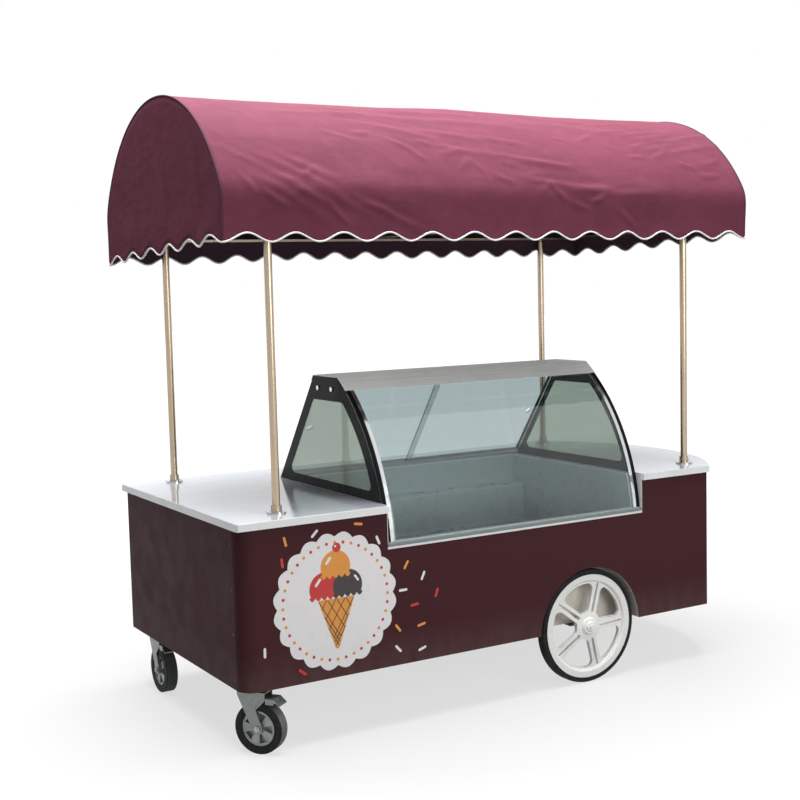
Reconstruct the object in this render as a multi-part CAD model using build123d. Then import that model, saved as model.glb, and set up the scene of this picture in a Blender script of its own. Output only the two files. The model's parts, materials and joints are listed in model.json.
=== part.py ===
from build123d import *
import os
from math import asin, atan, cos, degrees, radians, sin, sqrt

# Ice cream push cart: a panelled body on two large wheels and two swivel casters,
# with a curved glass display and a scalloped barrel canopy on four posts.
# Millimetres. X runs along the cart, Y from the customer's side to the server's side.
# The origin lies on the floor, under the middle of the overall length and depth.

# Body shell: flat front, left end and rear, and a bowed right end
BODY_LEFT = -1148.0
BODY_FRONT = -542.0
BODY_DEPTH = 1098.0
BODY_SKIRT = 20.0
CORNER_RADIUS = 60.0
BOW_TIP = 1178.0
BOW_RADIUS = 803.0
PANEL_THICK = 3.0
PARTITION_THICK = 18.0
BOARD_THICK = 12.0

# Counter tops
COUNTER_TOP = 811.0
COUNTER_THICK = 27.0
COUNTER_OVERHANG = 12.0
COUNTER_REAR_OVERHANG = 36.0
COUNTER_CORNER_RADIUS = 10.0
COUNTER_EDGE_RADIUS = 3.0

# Chassis under the floor board
RAIL_SIZE = 40.0
RAIL_WALL = 2.5
RAIL_INSET = 107.0
CASTER_BEAM_WIDTH = 80.0
CASTER_BEAM_INSET = 7.0
CASTER_BEAM_END_INSET = 36.0
NOSE_BEAM_INSET = 278.0
NOSE_BEAM_END_INSET = 10.0

# Display module
DISPLAY_INSET = 573.0
DISPLAY_WIDTH = 1184.0
DISPLAY_DEPTH = 855.0
DISPLAY_HEIGHT = 436.0
DOOR_RUN = 324.0
CUTOUT_HEIGHT = 132.0
SILL_HEIGHT = 23.0
SILL_PROUD = 1.0
SILL_GRIP = 15.0
LINING_THICK = 2.0
GLASS_FOOT_INSET = 12.0
GLASS_FOOT_DEPTH = 10.0
GLASS_FOOT_LEAN = 5.0
GLASS_RADIUS = 800.0
GLASS_THICK = 6.0
GLASS_SEAL = 0.5
BORDER_THICK = 2.0
BORDER_BOTTOM = 35.0
BORDER_REAR = 47.0
BORDER_TOP = 92.0
BORDER_FRONT = 48.0
BORDER_RADIUS = 20.0
BOLT_RADIUS = 9.0
BOLT_HEIGHT = 5.0
BOLT_SPACING = 110.0
TOP_SHEET = 2.0
TOP_LIP = 75.0
TOP_REAR_FOLD = 24.0
STRIP_INSET = 20.0
STRIP_WIDTH = 15.0
STRIP_THICK = 1.5

# Insulated tub below the glass
TUB_DEPTH = 325.0
TUB_END_WALL = 45.0
TUB_FRONT_WALL = 45.0
TUB_REAR_MARGIN = 7.0
TUB_REAR_WALL = 52.0
TUB_FLOOR = 40.0
TUB_FRONT_STEP = 64.0
TUB_FRONT_LEDGE = 38.0
TUB_REAR_STEP = 164.0
TUB_REAR_LEDGE = 80.0
TUB_FILLET = 12.0

# Sliding doors at the server's side
TRACK_OFFSET = 2.0
TRACK_DEPTH = 28.0
TRACK_RISE = 38.0
TRACK_GROOVE = 14.0
DOOR_THICK = 5.0
DOOR_SIDE_PLAY = 0.5
DOOR_FOOT_PLAY = 0.5
DOOR_HEAD_PLAY = 4.0
DOOR_PITCH = 12.0
DOOR_OVERLAP = 34.0
DOOR_END_GAP = 2.0
FINGER_RADIUS = 14.0
FINGER_INSET = 45.0

# Posts and canopy
POST_DIAMETER = 28.0
POST_WALL = 1.5
POST_HEIGHT = 967.0
POST_LEFT_INSET = 190.0
POST_RIGHT_INSET = 246.0
REAR_POST_LEFT_INSET = 180.0
REAR_POST_RIGHT_INSET = 276.0
POST_FRONT_INSET = 103.0
POST_REAR_INSET = 61.0
FLANGE_RADIUS = 34.0
FLANGE_THICK = 6.0
COLLAR_RADIUS = 19.0
COLLAR_HEIGHT = 30.0
CANOPY_RAIL_WIDTH = 25.0
CANOPY_RAIL_HEIGHT = 10.0
CANOPY_RAIL_WALL = 1.5
CANOPY_LEFT_OVERHANG = 42.0
CANOPY_RIGHT_INSET = 48.0
CANOPY_FRONT_OVERHANG = 50.0
CANOPY_REAR_INSET = 36.0
ARCH_FRONT_RISE = 142.0
ARCH_REAR_RISE = 107.0
ARCH_RISE = 350.0
ARCH_TOP_SHIFT = -7.0
ARCH_ROUND = 120.0
FABRIC = 2.0
FABRIC_GAP = 0.5
HEM_DROP = 37.0
HEM_REAR_DROP = 38.0
HEM_WAVE = 30.0
FRONT_WAVE_COUNT = 13
REAR_WAVE_COUNT = 15
END_WAVE_COUNT = 6
HOOP = 20.0
HOOP_TIE = 8.0

# Large wheels on a fixed axle
WHEEL_MARGIN = 18.0
WHEEL_RADIUS = 226.0
TYRE_HEIGHT = 20.0
RIM_DEPTH = 29.0
TYRE_WIDTH = 42.0
TYRE_SHOULDER = 9.0
WHEEL_RECESS = 14.0
RIM_SIDE_INSET = 2.0
RIM_LIP = 6.0
HUB_RADIUS = 35.0
HUB_HALF_LENGTH = 30.0
SPOKE_ROOT_RADIUS = 20.0
CAP_RADIUS = 23.0
CAP_HEIGHT = 7.0
NUT_RADIUS = 10.0
NUT_HEIGHT = 7.0
SPOKE_COUNT = 5
SPOKE_TURN = 71.0
SPOKE_THICK = 15.0
SPOKE_DISH = 14.0
KIDNEY_INNER = 60.0
KIDNEY_RIM_GAP = 9.0
KIDNEY_ROUND_INNER = 18.0
KIDNEY_ROUND_OUTER = 22.0
SPOKE_HALF_INNER = 19.0
SPOKE_HALF_OUTER = 20.0
SLOT_INNER = 61.0
SLOT_RIM_GAP = 6.0
SLOT_ROUND_INNER = 7.0
SLOT_ROUND_OUTER = 3.5
AXLE_RADIUS = 10.0
AXLE_PLAY = 0.05
AXLE_END_PLAY = 1.0
AXLE_NOTCH = 2.0
AXLE_DROP = 20.0
AXLE_COLLAR_RADIUS = 13.0
AXLE_COLLAR = 8.0
BRACKET_LENGTH = 60.0
BRACKET_WIDTH = 30.0
BRACKET_DROP = 20.0
BRACKET_ROUND = 16.0
ARCH_GAP = 20.0
ARCH_DROP = 10.0
WELL_DEPTH = 98.0
LINER = 2.0

# Swivel casters at the left end
CASTER_INSET = 52.0
CASTER_FRONT_INSET = 82.0
CASTER_REAR_INSET = 154.0
CASTER_FRONT_TURN = -53.5
CASTER_REAR_TURN = -90.0
CASTER_RADIUS = 90.5
CASTER_WIDTH = 46.0
CASTER_HUB_RADIUS = 62.0
CASTER_TRAIL = 45.0
CASTER_TYRE_SHOULDER = 3.0
PLATE_LENGTH = 76.0
PLATE_WIDTH = 84.0
PLATE_THICK = 6.0
PLATE_ROUND = 8.0
PLATE_HOLE_RADIUS = 4.5
PLATE_HOLE_INSET = 10.0
CUP_RADIUS = 28.0
CUP_HEIGHT = 11.0
RACE_RADIUS = 30.0
RACE_HEIGHT = 10.0
RACE_PLAY = 0.5
KINGPIN_RADIUS = 8.0
KINGPIN_HEAD = 12.0
KINGPIN_HEAD_HEIGHT = 5.0
FORK_SHEET = 4.0
FORK_SIDE_GAP = 2.0
FORK_CROWN = 60.0
FORK_CHEEK = 12.0
FORK_STRUT = 46.0
FORK_FOOT_RADIUS = 19.0
FORK_KNEE = 37.0
FORK_KNEE_DROP = 45.0
FORK_HORN = 77.0
FORK_HORN_DROP = 6.0
CASTER_AXLE_RADIUS = 6.0
CASTER_NUT_RADIUS = 10.0
CASTER_NUT = 6.0
CASTER_SPOKE = 38.0
CASTER_WEB = 6.0
CASTER_RING = 7.0
CASTER_CORE = 15.0
CASTER_HUB_INSET = 3.0
CASTER_WINDOW_COUNT = 5
CASTER_WINDOW_INNER = 21.0
CASTER_WINDOW_OUTER = 52.0
CASTER_WINDOW_INNER_HALF = 5.0
CASTER_WINDOW_OUTER_HALF = 16.0
PEDAL_PIVOT_X = 50.0
PEDAL_PIVOT_DROP = 17.0
PEDAL_PIN_RADIUS = 4.0
PEDAL_SIDE_GAP = 4.0
PEDAL_SHEET = 4.0
PEDAL_FORK_GAP = 2.0
PEDAL_TREAD = 30.0
PEDAL_LIP = 22.0
PEDAL_DIP = 20.0
PEDAL_FLANGE = 16.0
SHOE_INSET = 28.0
SHOE_LENGTH = 20.0
SHOE_WIDTH = 34.0
SHOE_DROP = 10.1

# Storage door and vent in the rear panel
STORE_LEFT_INSET = 64.0
STORE_RIGHT_INSET = 65.0
STORE_BOTTOM_INSET = 14.0
STORE_TOP_INSET = 42.0
STORE_BODY = 20.0
STORE_GAP = 3.0
HINGE_RADIUS = 6.0
HINGE_PIN_RADIUS = 3.0
HINGE_PLAY = 0.08
HINGE_END_PLAY = 0.5
HINGE_HALF = 28.0
HINGE_LEAF = 28.0
HINGE_LEAF_THICK = 2.0
HINGE_END_INSET = 70.0
HANDLE_LENGTH = 128.0
HANDLE_RADIUS = 5.0
HANDLE_STAND = 28.0
HANDLE_BEND = 12.0
HANDLE_INSET = 40.0
VENT_LEFT_INSET = 105.0
VENT_RIGHT_INSET = 45.0
VENT_BOTTOM_INSET = 6.0
VENT_TOP_INSET = 34.0
VENT_FRAME = 14.0
VENT_THICK = 5.0
VENT_SLAT_COUNT = 7

# Places that follow from the sizes above
BODY_REAR = BODY_FRONT + BODY_DEPTH
BODY_MID_Y = (BODY_FRONT + BODY_REAR) / 2
BOW_CENTRE_X = BOW_TIP - BOW_RADIUS
CHASSIS_BOTTOM = WHEEL_RADIUS + AXLE_DROP
CHASSIS_TOP = CHASSIS_BOTTOM + RAIL_SIZE
BODY_BOTTOM = CHASSIS_BOTTOM - BODY_SKIRT
BOARD_TOP = CHASSIS_TOP + BOARD_THICK
NOSE_BEAM_X = BOW_TIP - NOSE_BEAM_INSET
COUNTER_UNDER = COUNTER_TOP - COUNTER_THICK
DISPLAY_LEFT = BODY_LEFT + DISPLAY_INSET
DISPLAY_RIGHT = DISPLAY_LEFT + DISPLAY_WIDTH
DISPLAY_TOP = COUNTER_TOP + DISPLAY_HEIGHT
SILL_BOTTOM = COUNTER_UNDER - CUTOUT_HEIGHT
SILL_TOP = SILL_BOTTOM + SILL_HEIGHT
GLASS_FOOT_Y = BODY_FRONT + GLASS_FOOT_INSET
GLASS_FOOT_Z = SILL_TOP - GLASS_FOOT_DEPTH
GLASS_CENTRE_Y = GLASS_FOOT_Y + GLASS_RADIUS * cos(radians(GLASS_FOOT_LEAN))
GLASS_CENTRE_Z = GLASS_FOOT_Z - GLASS_RADIUS * sin(radians(GLASS_FOOT_LEAN))
INNER_GLASS_RADIUS = GLASS_RADIUS - GLASS_THICK
SIDE_GLASS_RADIUS = INNER_GLASS_RADIUS - GLASS_SEAL
PANE_LEFT = DISPLAY_LEFT + LINING_THICK + BORDER_THICK + GLASS_THICK
PANE_RIGHT = DISPLAY_RIGHT - LINING_THICK - BORDER_THICK - GLASS_THICK
DOOR_FOOT_Y = GLASS_FOOT_Y + DISPLAY_DEPTH
DISPLAY_TOP_REAR = DOOR_FOOT_Y - DOOR_RUN
TUB_BOTTOM = COUNTER_TOP - TUB_DEPTH
TUB_FLOOR_TOP = TUB_BOTTOM + TUB_FLOOR
TUB_FRONT_LEDGE_Z = TUB_FLOOR_TOP + TUB_FRONT_STEP
TUB_REAR_LEDGE_Z = TUB_FLOOR_TOP + TUB_REAR_STEP
TUB_REAR = DOOR_FOOT_Y + TUB_REAR_MARGIN
POST_LEFT = BODY_LEFT + POST_LEFT_INSET
POST_RIGHT = BOW_TIP - POST_RIGHT_INSET
REAR_POST_LEFT = BODY_LEFT + REAR_POST_LEFT_INSET
REAR_POST_RIGHT = BOW_TIP - REAR_POST_RIGHT_INSET
POST_FRONT = BODY_FRONT + POST_FRONT_INSET
POST_REAR = BODY_REAR - POST_REAR_INSET
CANOPY_RAIL_BOTTOM = COUNTER_TOP + POST_HEIGHT
CANOPY_RAIL_TOP = CANOPY_RAIL_BOTTOM + CANOPY_RAIL_HEIGHT
CANOPY_LEFT = BODY_LEFT - CANOPY_LEFT_OVERHANG
CANOPY_RIGHT = BOW_TIP - CANOPY_RIGHT_INSET
CANOPY_FRONT = BODY_FRONT - CANOPY_FRONT_OVERHANG
CANOPY_REAR = BODY_REAR - CANOPY_REAR_INSET
ARCH_FRONT_Z = CANOPY_RAIL_BOTTOM + ARCH_FRONT_RISE
ARCH_REAR_Z = CANOPY_RAIL_BOTTOM + ARCH_REAR_RISE
ARCH_TOP_Y = (CANOPY_FRONT + CANOPY_REAR) / 2 + ARCH_TOP_SHIFT
ARCH_TOP_Z = ARCH_FRONT_Z + ARCH_RISE
HEM_LOW = CANOPY_RAIL_BOTTOM - HEM_DROP
RIM_RADIUS = WHEEL_RADIUS - TYRE_HEIGHT
RIM_INNER = RIM_RADIUS - RIM_DEPTH
KIDNEY_OUTER = RIM_INNER - KIDNEY_RIM_GAP
SLOT_OUTER = RIM_INNER - SLOT_RIM_GAP
ARCH_RADIUS = WHEEL_RADIUS + ARCH_GAP
ARCH_Z = WHEEL_RADIUS - ARCH_DROP
WHEEL_X = DISPLAY_RIGHT - WHEEL_MARGIN - LINER - ARCH_RADIUS
WHEEL_FRONT_Y = BODY_FRONT + WHEEL_RECESS + TYRE_WIDTH / 2
WHEEL_REAR_Y = BODY_REAR - WHEEL_RECESS - TYRE_WIDTH / 2
CASTER_X = BODY_LEFT + CASTER_INSET
CASTER_FRONT_Y = BODY_FRONT + CASTER_FRONT_INSET
CASTER_REAR_Y = BODY_REAR - CASTER_REAR_INSET
STORE_LEFT = BODY_LEFT + STORE_LEFT_INSET
STORE_RIGHT = DISPLAY_LEFT - STORE_RIGHT_INSET
STORE_BOTTOM = BOARD_TOP + STORE_BOTTOM_INSET
STORE_TOP = COUNTER_UNDER - STORE_TOP_INSET
VENT_LEFT = DISPLAY_LEFT + VENT_LEFT_INSET
VENT_RIGHT = WHEEL_X - ARCH_RADIUS - LINER - VENT_RIGHT_INSET
VENT_BOTTOM = BOARD_TOP + VENT_BOTTOM_INSET
VENT_TOP = TUB_BOTTOM - VENT_TOP_INSET
FAR = 4000.0


def block(x0, x1, y0, y1, z0, z1):
    """Box between two corners."""
    size = Box(x1 - x0, y1 - y0, z1 - z0)
    return Pos((x0 + x1) / 2, (y0 + y1) / 2, (z0 + z1) / 2) * size


def along_x(face, x0, x1):
    """Solid with a (y, z) section between two x places."""
    return extrude(Plane.YZ.offset(x0) * face, amount=x1 - x0, dir=(1, 0, 0))


def along_y(face, y0, y1):
    """Solid with an (x, z) section between two y places."""
    return extrude(Plane.XZ.offset(-y0) * face, amount=y1 - y0, dir=(0, 1, 0))


def along_z(face, z0, z1):
    """Solid with an (x, y) section between two heights."""
    return extrude(Pos(0, 0, z0) * face, amount=z1 - z0, dir=(0, 0, 1))


def rod_y(x, z, radius, y0, y1):
    return along_y(Pos(x, z) * Circle(radius), y0, y1)


def rod_z(x, y, radius, z0, z1):
    return along_z(Pos(x, y) * Circle(radius), z0, z1)


def on_glass(radius, angle):
    """Point (y, z) on a circle about the axis of the bent glass."""
    turn = radians(angle)
    return (GLASS_CENTRE_Y - radius * cos(turn), GLASS_CENTRE_Z + radius * sin(turn))


def glass_angle(radius, height):
    """Angle on that circle at a given height."""
    return degrees(asin((height - GLASS_CENTRE_Z) / radius))


def glass_band(inner, outer, start, end):
    """Section between two circles about the axis of the bent glass."""
    middle = (start + end) / 2
    outside = ThreePointArc(on_glass(outer, start), on_glass(outer, middle), on_glass(outer, end))
    inside = ThreePointArc(on_glass(inner, end), on_glass(inner, middle), on_glass(inner, start))
    head = Line(on_glass(outer, end), on_glass(inner, end))
    foot = Line(on_glass(inner, start), on_glass(outer, start))
    return make_face([outside, head, inside, foot])


def glass_disc(radius):
    """Everything inside a circle about the axis of the bent glass, along the whole cart."""
    return along_x(Pos(GLASS_CENTRE_Y, GLASS_CENTRE_Z) * Circle(radius), -FAR, FAR)


# Body shell


def bow_x(radius, y):
    return BOW_CENTRE_X + sqrt(radius**2 - (y - BODY_MID_Y) ** 2)


def footprint(inset):
    """Body outline seen from above, moved inwards by the inset."""
    left = BODY_LEFT + inset
    front = BODY_FRONT + inset
    rear = BODY_REAR - inset
    radius = BOW_RADIUS - inset
    front_end = (bow_x(radius, front), front)
    rear_end = (bow_x(radius, rear), rear)
    walls = Polyline(front_end, (left, front), (left, rear), rear_end)
    bow = ThreePointArc(rear_end, (BOW_CENTRE_X + radius, BODY_MID_Y), front_end)
    outline = make_face([walls, bow])
    corner = outline.vertices().sort_by(lambda v: v.X + v.Y)[0]
    return fillet(corner, CORNER_RADIUS - inset)


def wheel_arch(radius):
    """Arch outline (x, z) above the lower edge of the body."""
    circle = Pos(WHEEL_X, ARCH_Z) * Circle(radius)
    reach = 2 * radius
    above = Pos(WHEEL_X, BODY_BOTTOM + radius) * Rectangle(reach, reach)
    return circle & above


def panels():
    """Front with its rounded corner, left end, three rear sheets and bowed right end."""
    skin = along_z(footprint(0) - footprint(PANEL_THICK), BODY_BOTTOM, COUNTER_UNDER)
    seam = BODY_FRONT + CORNER_RADIUS
    front_inside = BODY_FRONT + PANEL_THICK
    rear_inside = BODY_REAR - PANEL_THICK
    middle = BOW_CENTRE_X
    front_zone = block(-FAR, FAR, -FAR, front_inside, 0, FAR)
    front_zone += block(-FAR, BODY_LEFT + CORNER_RADIUS, -FAR, seam, 0, FAR)
    front = skin & front_zone
    front -= block(DISPLAY_LEFT, DISPLAY_RIGHT, -FAR, 0, SILL_BOTTOM, FAR)
    front -= along_y(wheel_arch(ARCH_RADIUS), -FAR, 0)
    left = skin & block(-FAR, middle, seam, rear_inside, 0, FAR)
    rear = skin & block(-FAR, FAR, rear_inside, FAR, 0, FAR)
    rear -= along_y(wheel_arch(ARCH_RADIUS), 0, FAR)
    rear -= block(STORE_LEFT, STORE_RIGHT, 0, FAR, STORE_BOTTOM, STORE_TOP)
    rear -= block(VENT_LEFT, VENT_RIGHT, 0, FAR, VENT_BOTTOM, VENT_TOP)
    store_seam = DISPLAY_LEFT - PARTITION_THICK / 2
    vent_seam = VENT_RIGHT + VENT_RIGHT_INSET / 2
    store_sheet = rear & block(-FAR, store_seam, 0, FAR, 0, FAR)
    vent_sheet = rear & block(store_seam, vent_seam, 0, FAR, 0, FAR)
    wheel_sheet = rear & block(vent_seam, FAR, 0, FAR, 0, FAR)
    bow = skin & block(middle, FAR, front_inside, rear_inside, 0, FAR)
    return front, left, store_sheet, vent_sheet, wheel_sheet, bow


def fender(front):
    """Wheel well liner: an arched shell with an inner wall notched for the axle."""
    outside = wheel_arch(ARCH_RADIUS + LINER)
    if front:
        mouth = BODY_FRONT + PANEL_THICK
        wall = BODY_FRONT + WELL_DEPTH
        shell = along_y(outside, mouth, wall)
        shell -= along_y(wheel_arch(ARCH_RADIUS), mouth, wall - LINER)
    else:
        mouth = BODY_REAR - PANEL_THICK
        wall = BODY_REAR - WELL_DEPTH
        shell = along_y(outside, wall, mouth)
        shell -= along_y(wheel_arch(ARCH_RADIUS), wall + LINER, mouth)
    return shell - rod_y(WHEEL_X, WHEEL_RADIUS, AXLE_COLLAR_RADIUS + AXLE_NOTCH, -FAR, FAR)


def floor_board():
    """Floor inside the panels, cut out for the wheel wells."""
    board = along_z(footprint(PANEL_THICK), CHASSIS_TOP, BOARD_TOP)
    well = wheel_arch(ARCH_RADIUS + LINER)
    board -= along_y(well, -FAR, BODY_FRONT + WELL_DEPTH)
    board -= along_y(well, BODY_REAR - WELL_DEPTH, FAR)
    return board


def partition(x0):
    """Upright board beside the display."""
    front = BODY_FRONT + PANEL_THICK
    rear = BODY_REAR - PANEL_THICK
    return block(x0, x0 + PARTITION_THICK, front, rear, BOARD_TOP, COUNTER_UNDER)


# Counter tops


def counter(outline, corners):
    """Slab with rounded upright corners and softened upper edges."""
    if corners:
        outline = fillet(corners, COUNTER_CORNER_RADIUS)
    slab = along_z(outline, COUNTER_UNDER, COUNTER_TOP)
    rim = slab.faces().sort_by(Axis.Z)[-1].edges()
    return fillet(rim, COUNTER_EDGE_RADIUS)


def counters():
    left = BODY_LEFT - COUNTER_OVERHANG
    front = BODY_FRONT - COUNTER_OVERHANG
    rear = BODY_REAR + COUNTER_REAR_OVERHANG
    radius = BOW_RADIUS + COUNTER_OVERHANG
    left_outline = Polygon(
        (left, front), (DISPLAY_LEFT, front), (DISPLAY_LEFT, rear), (left, rear), align=None
    )
    left_slab = counter(left_outline, left_outline.vertices().sort_by(Axis.X)[:2])
    front_end = (bow_x(radius, front), front)
    rear_end = (bow_x(radius, rear), rear)
    walls = Polyline(front_end, (DISPLAY_RIGHT, front), (DISPLAY_RIGHT, rear), rear_end)
    bow = ThreePointArc(rear_end, (BOW_CENTRE_X + radius, BODY_MID_Y), front_end)
    right_slab = counter(make_face([walls, bow]), None)
    rear_outline = Polygon(
        (DISPLAY_LEFT, TUB_REAR), (DISPLAY_RIGHT, TUB_REAR),
        (DISPLAY_RIGHT, rear), (DISPLAY_LEFT, rear), align=None,
    )
    rear_slab = counter(rear_outline, None)
    return left_slab, right_slab, rear_slab


# Chassis


def beam_x(x0, x1, y):
    """Square tube along the cart."""
    half = RAIL_SIZE / 2
    hole = half - RAIL_WALL
    outside = block(x0, x1, y - half, y + half, CHASSIS_BOTTOM, CHASSIS_TOP)
    return outside - block(x0, x1, y - hole, y + hole, CHASSIS_BOTTOM + RAIL_WALL, CHASSIS_TOP - RAIL_WALL)


def beam_y(x0, x1, y0, y1):
    """Rectangular tube across the cart."""
    outside = block(x0, x1, y0, y1, CHASSIS_BOTTOM, CHASSIS_TOP)
    low = CHASSIS_BOTTOM + RAIL_WALL
    return outside - block(x0 + RAIL_WALL, x1 - RAIL_WALL, y0, y1, low, CHASSIS_TOP - RAIL_WALL)


def chassis():
    inside_left = BODY_LEFT + PANEL_THICK + CASTER_BEAM_INSET
    beam_right = inside_left + CASTER_BEAM_WIDTH
    front_end = BODY_FRONT + CASTER_BEAM_END_INSET
    rear_end = BODY_REAR - CASTER_BEAM_END_INSET
    caster_beam = beam_y(inside_left, beam_right, front_end, rear_end)
    nose_left = NOSE_BEAM_X - RAIL_SIZE / 2
    nose_front = BODY_FRONT + NOSE_BEAM_END_INSET
    nose_rear = BODY_REAR - NOSE_BEAM_END_INSET
    nose_beam = beam_y(nose_left, nose_left + RAIL_SIZE, nose_front, nose_rear)
    front_rail = beam_x(beam_right, nose_left, BODY_FRONT + RAIL_INSET + RAIL_SIZE / 2)
    rear_rail = beam_x(beam_right, nose_left, BODY_REAR - RAIL_INSET - RAIL_SIZE / 2)
    return caster_beam, nose_beam, front_rail + rear_rail


# Display


def tub():
    """Insulated tub with stepped ledges; its front and ends stop behind the bent glass."""
    shell = block(DISPLAY_LEFT, DISPLAY_RIGHT, BODY_FRONT, TUB_REAR, TUB_BOTTOM, COUNTER_TOP)
    skin_radius = SIDE_GLASS_RADIUS
    shell &= glass_disc(skin_radius)
    front = on_glass(skin_radius, glass_angle(skin_radius, SILL_BOTTOM))[0] + TUB_FRONT_WALL
    rear = TUB_REAR - TUB_REAR_WALL
    floor = TUB_FLOOR_TOP
    section = Polygon(
        (front, FAR), (front, TUB_FRONT_LEDGE_Z), (front + TUB_FRONT_LEDGE, TUB_FRONT_LEDGE_Z),
        (front + TUB_FRONT_LEDGE, floor), (rear - TUB_REAR_LEDGE, floor),
        (rear - TUB_REAR_LEDGE, TUB_REAR_LEDGE_Z), (rear, TUB_REAR_LEDGE_Z), (rear, FAR),
        align=None,
    )
    section = fillet(section.vertices().filter_by(lambda v: v.Y < FAR), TUB_FILLET)
    shell -= along_x(section, DISPLAY_LEFT + TUB_END_WALL, DISPLAY_RIGHT - TUB_END_WALL)
    front_gap = block(DISPLAY_LEFT + TUB_END_WALL, DISPLAY_RIGHT - TUB_END_WALL, -FAR, 0, SILL_BOTTOM, FAR)
    shell -= front_gap
    return shell


def display_trim():
    """Sill with a groove for the bent glass, and linings up both sides of the cut-out."""
    proud = BODY_FRONT - SILL_PROUD
    inner = on_glass(INNER_GLASS_RADIUS, glass_angle(INNER_GLASS_RADIUS, SILL_TOP))[0] + SILL_GRIP
    left = DISPLAY_LEFT + TUB_END_WALL
    right = DISPLAY_RIGHT - TUB_END_WALL
    sill = block(DISPLAY_LEFT, DISPLAY_RIGHT, proud, BODY_FRONT + PANEL_THICK, SILL_BOTTOM, SILL_TOP)
    sill += block(DISPLAY_LEFT, DISPLAY_RIGHT, proud, GLASS_FOOT_Y + GLASS_THICK, SILL_BOTTOM, GLASS_FOOT_Z)
    sill -= glass_disc(SIDE_GLASS_RADIUS)
    sill += block(left, right, GLASS_FOOT_Y + GLASS_THICK, inner, SILL_BOTTOM, SILL_TOP)
    groove = glass_disc(GLASS_RADIUS + GLASS_SEAL) - glass_disc(INNER_GLASS_RADIUS - GLASS_SEAL)
    sill -= groove & block(-FAR, FAR, -FAR, 0, GLASS_FOOT_Z, SILL_TOP)
    lining = block(DISPLAY_LEFT, DISPLAY_LEFT + LINING_THICK, proud, 0, SILL_TOP, COUNTER_TOP)
    lining += block(DISPLAY_RIGHT - LINING_THICK, DISPLAY_RIGHT, proud, 0, SILL_TOP, COUNTER_TOP)
    return sill + (lining - glass_disc(SIDE_GLASS_RADIUS))


def front_glass():
    """Bent front pane from the sill up to the top."""
    start = glass_angle(GLASS_RADIUS, GLASS_FOOT_Z)
    end = glass_angle(GLASS_RADIUS, DISPLAY_TOP)
    band = glass_band(INNER_GLASS_RADIUS, GLASS_RADIUS, start, end)
    left = DISPLAY_LEFT + LINING_THICK + GLASS_SEAL
    right = DISPLAY_RIGHT - LINING_THICK - GLASS_SEAL
    pane = along_x(band, left, right)
    pane -= block(-FAR, FAR, -FAR, 0, 0, GLASS_FOOT_Z)
    return pane - block(-FAR, FAR, -FAR, FAR, DISPLAY_TOP, FAR)


def side_outline():
    """Side pane outline (y, z): bent front edge, level top, sloping rear edge."""
    low = glass_angle(SIDE_GLASS_RADIUS, COUNTER_TOP)
    high = glass_angle(SIDE_GLASS_RADIUS, DISPLAY_TOP)
    foot = on_glass(SIDE_GLASS_RADIUS, low)
    head = on_glass(SIDE_GLASS_RADIUS, high)
    front = ThreePointArc(foot, on_glass(SIDE_GLASS_RADIUS, (low + high) / 2), head)
    rest = Polyline(head, (DISPLAY_TOP_REAR, DISPLAY_TOP), (DOOR_FOOT_Y, COUNTER_TOP), foot)
    return make_face([front, rest])


def border_outline():
    """Dark border of the side pane with a rounded clear window."""
    run = DOOR_FOOT_Y - DISPLAY_TOP_REAR
    slope_length = sqrt(run**2 + (DISPLAY_TOP - COUNTER_TOP) ** 2)
    shift = BORDER_REAR * slope_length / (DISPLAY_TOP - COUNTER_TOP)
    window = Polygon(
        (-FAR, COUNTER_TOP + BORDER_BOTTOM), (DOOR_FOOT_Y, COUNTER_TOP + BORDER_BOTTOM),
        (DOOR_FOOT_Y, DISPLAY_TOP - BORDER_TOP), (-FAR, DISPLAY_TOP - BORDER_TOP), align=None,
    )
    window &= Pos(GLASS_CENTRE_Y, GLASS_CENTRE_Z) * Circle(SIDE_GLASS_RADIUS - BORDER_FRONT)
    behind = Polygon(
        (DOOR_FOOT_Y - shift, COUNTER_TOP), (DOOR_FOOT_Y + run, COUNTER_TOP),
        (DOOR_FOOT_Y + run, DISPLAY_TOP), (DISPLAY_TOP_REAR - shift, DISPLAY_TOP), align=None,
    )
    window -= behind
    window = fillet(window.vertices(), BORDER_RADIUS)
    return side_outline() - window


def edge_band():
    """Section (y, z) of the trim on the ends of the bent glass, from the sill up to the lip."""
    inner = GLASS_RADIUS + GLASS_SEAL
    start = glass_angle(inner, SILL_TOP + GLASS_SEAL)
    end = glass_angle(GLASS_RADIUS, DISPLAY_TOP) - degrees(TOP_LIP / GLASS_RADIUS)
    return glass_band(inner, inner + STRIP_THICK, start, end)


def side_panes():
    """Side panes, and their dark borders with the dark bands round the ends of the bent glass."""
    left = DISPLAY_LEFT + LINING_THICK
    right = DISPLAY_RIGHT - LINING_THICK
    left_border = along_x(border_outline(), left, left + BORDER_THICK)
    left_border += along_x(edge_band(), left + GLASS_SEAL, DISPLAY_LEFT + STRIP_INSET)
    left_glass = along_x(side_outline(), left + BORDER_THICK, PANE_LEFT)
    right_border = along_x(border_outline(), right - BORDER_THICK, right)
    right_border += along_x(edge_band(), DISPLAY_RIGHT - STRIP_INSET, right - GLASS_SEAL)
    right_glass = along_x(side_outline(), PANE_RIGHT, right - BORDER_THICK)
    return left_glass, left_border, right_glass, right_border


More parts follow.
